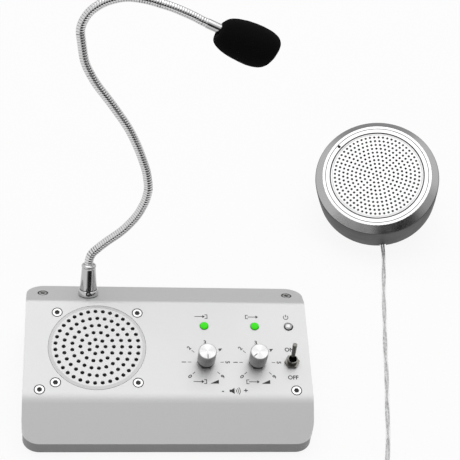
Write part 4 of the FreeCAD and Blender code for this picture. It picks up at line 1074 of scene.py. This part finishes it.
def make_call_lenses():
    """The domed green lenses of the two call lamps."""
    outline = LAMP_ROOT + [(LENS_RADIUS, 0.0)] + dome(LENS_RADIUS, 0.1, 1.2, range(0, 90, 9))
    for label, name in (("inside_call_lamp", "internal"), ("outside_call_lamp", "external")):
        place = frame_on_panel(KNOB_X[name], LAMP_DOWN)
        lens = turned_piece(label + "_lens", outline, place, green_lens, 64)
        crisp(lens, 40)
        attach(lens, "console_and_outer_unit")
        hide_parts(label)


def make_power_lens():
    """The clear lens of the power lamp, in a dark bezel."""
    clear = 2.1
    bezel = LAMP_ROOT + [(LENS_RADIUS, 0.35), (2.6, 0.55), (2.3, 0.6), (clear, 0.4)]
    outline = bezel + dome(clear, 0.4, 0.9, range(10, 90, 10))
    place = frame_on_panel(POWER_LAMP_X, LAMP_DOWN)
    power = turned_piece("power_lamp_lens", outline, place, clear_lens, 64)
    power.data.materials.append(black_metal)
    for face in power.data.polygons:
        if face.center.xy.length > 2.32 * MM:
            face.material_index = 1
    crisp(power, 40)
    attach(power, "console_and_outer_unit")
    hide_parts("power_lamp")


def make_ferrule():
    """The chrome foot of the neck: a bulged base ring, a taper and a lipped collar, with black bands at
    its bottom edge and in the groove above the base ring as painted shade.
    """
    outline = [
        (2.87, -9.0), (4.0, -9.0), (4.0, 0.0), (6.0, 0.0),
        (6.0, 0.3), (6.2, 0.5), (6.25, 1.3), (6.15, 2.2),
        (5.95, 3.0), (5.65, 3.6), (5.35, 3.85), (5.1, 3.9),
        (5.1, 4.2), (5.24, 4.35), (4.3, 17.5), (4.24, 17.95),
        (4.1, 18.15), (3.95, 18.3), (3.95, 18.5), (4.2, 18.62),
        (4.44, 18.85), (4.5, 19.3), (4.48, 19.8), (4.3, 20.2),
        (3.9, 20.5), (3.4, 20.75), (2.95, 20.9), (2.87, 20.9),
    ]
    ferrule = turned_piece("ferrule_turned", outline, NECK, bright, 96)
    ferrule.data.materials.append(black_metal)
    # Faces at the bottom edge and in the groove get blackened steel: painted shade.
    for face in ferrule.data.polygons:
        height = face.center.z / MM
        if 0.0 < height < 0.3 or 3.86 < height < 4.25:
            face.material_index = 1
    crisp(ferrule, 40)
    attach(ferrule, "console_and_outer_unit")
    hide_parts("neck_ferrule", "neck_collar")
    socket = [
        (0.05, -1.4),
        (1.55, -1.4),
        (1.55, 0.0),
        (1.4, 0.14),
        (0.8, 0.14),
        (0.7, -0.4),
        (0.05, -0.5),
    ]
    spot = NECK @ Matrix.Translation(Vector((0, -6.2, 2.8)) * MM) @ Matrix.Rotation(math.pi / 2, 4, "X")
    set_screw = turned_piece("set_screw_socket", socket, spot, ink, 48)
    crisp(set_screw, 40)
    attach(set_screw, "console_and_outer_unit")


def shade_faces(piece, finish, chosen):
    """Gives another finish to the faces that a test on their middle and normal picks."""
    piece.data.materials.append(finish)
    last = len(piece.data.materials) - 1
    for face in piece.data.polygons:
        if chosen(face.center, face.normal):
            face.material_index = last


def shade_console():
    """The finishes of the embossed ring round the loudspeaker, in a darker copy of the paint as painted
    shade, and of the microphone's cup.
    """
    into_speaker = frame_on_panel(*SPEAKER_MIDDLE).inverted()
    into_microphone = MIC_FRAME.inverted()
    emboss_inner, emboss_outer, cup_start = 27.35, 29.3, 12.6

    def on_emboss(centre, normal):
        local = (into_speaker @ centre) / MM
        return emboss_inner < local.xy.length < emboss_outer and 0.05 < local.z < 0.44

    def on_cup(centre, normal):
        return (into_microphone @ centre).z > cup_start * MM

    shade_faces(nodes["top_cover"], emboss_painted_shade, on_emboss)
    shade_faces(nodes["mic_sleeve"], black_plastic, on_cup)


FACE_HEIGHT = 28.8


def shade_outer_unit():
    """The face gets a lighter copy of the metal as painted light and the wall a darker copy as painted
    shade, and its groove, gap and holes are black as painted shade.
    """
    into_unit = UNIT.inverted()
    axis = UNIT.to_3x3() @ Vector((0, 0, 1))

    def place_of(centre):
        local = (into_unit @ centre) / MM
        return local.xy.length, local.z

    def on_face(centre, normal):
        radius, height = place_of(centre)
        return radius < 37.9 and height > 28.0 and normal.dot(axis) > 0.5

    def on_wall(centre, normal):
        radius, height = place_of(centre)
        return radius > 41.0 and height < 25.0 and normal.dot(axis) < 0.7

    def in_groove(centre, normal):
        radius, height = place_of(centre)
        gap = 32.4 < radius < 32.9 and height > 25.0
        groove = 35.5 < radius < 36.1 and 28.3 < height < FACE_HEIGHT - 0.01
        return gap or groove

    def in_hole(centre, normal):
        radius, height = place_of(centre)
        return radius < 31.0 and abs(normal.dot(axis)) < 0.5

    housing = nodes["outer_housing"]
    # Lighter face and darker wall are painted light and shade. The black groove, gap and hole walls are
    # painted shade.
    shade_faces(housing, lit_unit_face_metal, on_face)
    shade_faces(housing, unit_wall_metal, on_wall)
    shade_faces(housing, black_metal, in_groove)
    shade_faces(nodes["outer_grille"], cloth, in_hole)


def make_seams():
    """Painted shadow lines in black on the outer unit's face: round its disc, and at its groove."""
    low, high = FACE_HEIGHT - 0.1, FACE_HEIGHT + 0.06
    for name, middle, width in (("disc_painted_shadow", 32.62, 0.84), ("face_painted_shadow", 35.8, 0.46)):
        outer, inner = middle + width / 2, middle - width / 2
        section = [(inner, low), (outer, low), (outer, high), (inner, high)]
        painted_shadow_ring = turned_ring(name, section, UNIT, black_metal)
        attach(painted_shadow_ring, "console_and_outer_unit")


def make_pinhole():
    """A black disc over the small hole for the microphone, between the disc and the groove: painted
    shade for the hole's dark inside.
    """
    angle, from_axis, radius = math.radians(160.5), 34.5, 1.08
    place = (from_axis * math.cos(angle), from_axis * math.sin(angle), FACE_HEIGHT)
    outline = [(0.02, -0.1), (radius, -0.1), (radius, 0.09), (0.02, 0.09)]
    spot = UNIT @ Matrix.Translation(Vector(place) * MM)
    pinhole_painted_shade = turned_piece("pinhole_painted_shade", outline, spot, cloth, 32)
    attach(pinhole_painted_shade, "console_and_outer_unit")


make_screws()
make_knobs()
make_call_lenses()
make_power_lens()
make_ferrule()
shade_console()
shade_outer_unit()
make_seams()
make_pinhole()


# Floor, world and lights
def ray_kinds(tree):
    """Two values: 1 for what the camera sees, and 1 for what shiny and clear pieces show."""
    path = tree.nodes.new("ShaderNodeLightPath").outputs
    mirrored = combined(tree, "MAXIMUM", path["Is Glossy Ray"], path["Is Transmission Ray"])
    return path["Is Camera Ray"], mirrored


def make_stage():
    """A white floor. What the camera and the metal see of it is partly lit up, over its shadow."""
    half, drop, lit_share = 1.3, 0.0004, 0.9
    material = surface("floor_white", grey(0.96), 0.9, spread=0.004, grain=30, bump=0.0)
    tree = material.node_tree
    shader = tree.nodes["Principled BSDF"]
    shader.inputs["Specular IOR Level"].default_value = 0.0
    glow = node(tree, "ShaderNodeEmission", Strength=1.0)
    seen, mirrored = ray_kinds(tree)
    shown = combined(tree, "MAXIMUM", seen, mirrored)
    mix = tree.nodes.new("ShaderNodeMixShader")
    tree.links.new(combined(tree, "MULTIPLY", shown, lit_share), mix.inputs["Fac"])
    tree.links.new(shader.outputs["BSDF"], mix.inputs[1])
    tree.links.new(glow.outputs["Emission"], mix.inputs[2])
    tree.links.new(mix.outputs["Shader"], tree.nodes["Material Output"].inputs["Surface"])
    corners = [(-half, -half), (half, -half), (half, half), (-half, half)]
    verts = [(x, y, -drop) for x, y in corners]
    floor = mesh_piece("floor", verts, [(0, 1, 2, 3)], material, smooth=False)


def darker_toward(tree, direction, facing, start, end, least):
    """Falls from 1 to a least value as the world's direction nears one direction."""
    toward = node(tree, "ShaderNodeVectorMath", operation="DOT_PRODUCT")
    toward.inputs[1].default_value = Vector(facing).normalized()
    tree.links.new(direction, toward.inputs[0])
    fall = ranged(tree, toward.outputs["Value"], 1.0, least, start, end)
    fall.node.interpolation_type = "SMOOTHSTEP"
    return fall


def make_world():
    """A pale studio that is dark behind the camera and to the right, as the metal shows."""
    world = bpy.data.worlds.new("Studio")
    scene.world = world
    world.use_nodes = True
    tree = world.node_tree
    background = tree.nodes["Background"]
    direction = tree.nodes.new("ShaderNodeTexCoord").outputs["Generated"]
    front = darker_toward(tree, direction, (0.3, -0.95, -0.05), 0.6, 0.95, 0.02)
    side = darker_toward(tree, direction, (0.93, -0.3, -0.1), 0.8, 0.96, 0.12)
    back = darker_toward(tree, direction, (0.1, 0.99, 0.05), 0.78, 0.97, 0.45)
    dark = combined(tree, "MULTIPLY", combined(tree, "MULTIPLY", front, back), side)
    seen, mirrored = ray_kinds(tree)
    level = tree.nodes.new("ShaderNodeMix")
    level.inputs[2].default_value = 0.45
    tree.links.new(mirrored, level.inputs[0])
    tree.links.new(dark, level.inputs[3])
    strength = combined(tree, "MAXIMUM", level.outputs[0], seen)
    tree.links.new(strength, background.inputs["Strength"])
    background.inputs["Color"].default_value = (1, 1, 1, 1)


def area_light(name, place, target, size, power):
    data = bpy.data.lights.new(name, "AREA")
    data.shape = "SQUARE"
    data.size = size
    data.energy = power
    light = bpy.data.objects.new(name, data)
    light.location = place
    light.rotation_euler = (Vector(target) - Vector(place)).to_track_quat("-Z", "Y").to_euler()
    scene.collection.objects.link(light)


make_stage()
make_world()
area_light("softbox", place=(0.0, 0.36, 1.3), target=(0.0, 0.0, 0.02), size=1.5, power=8.8)
scene.view_settings.view_transform = "Standard"
scene.view_settings.view_transform = "Standard"
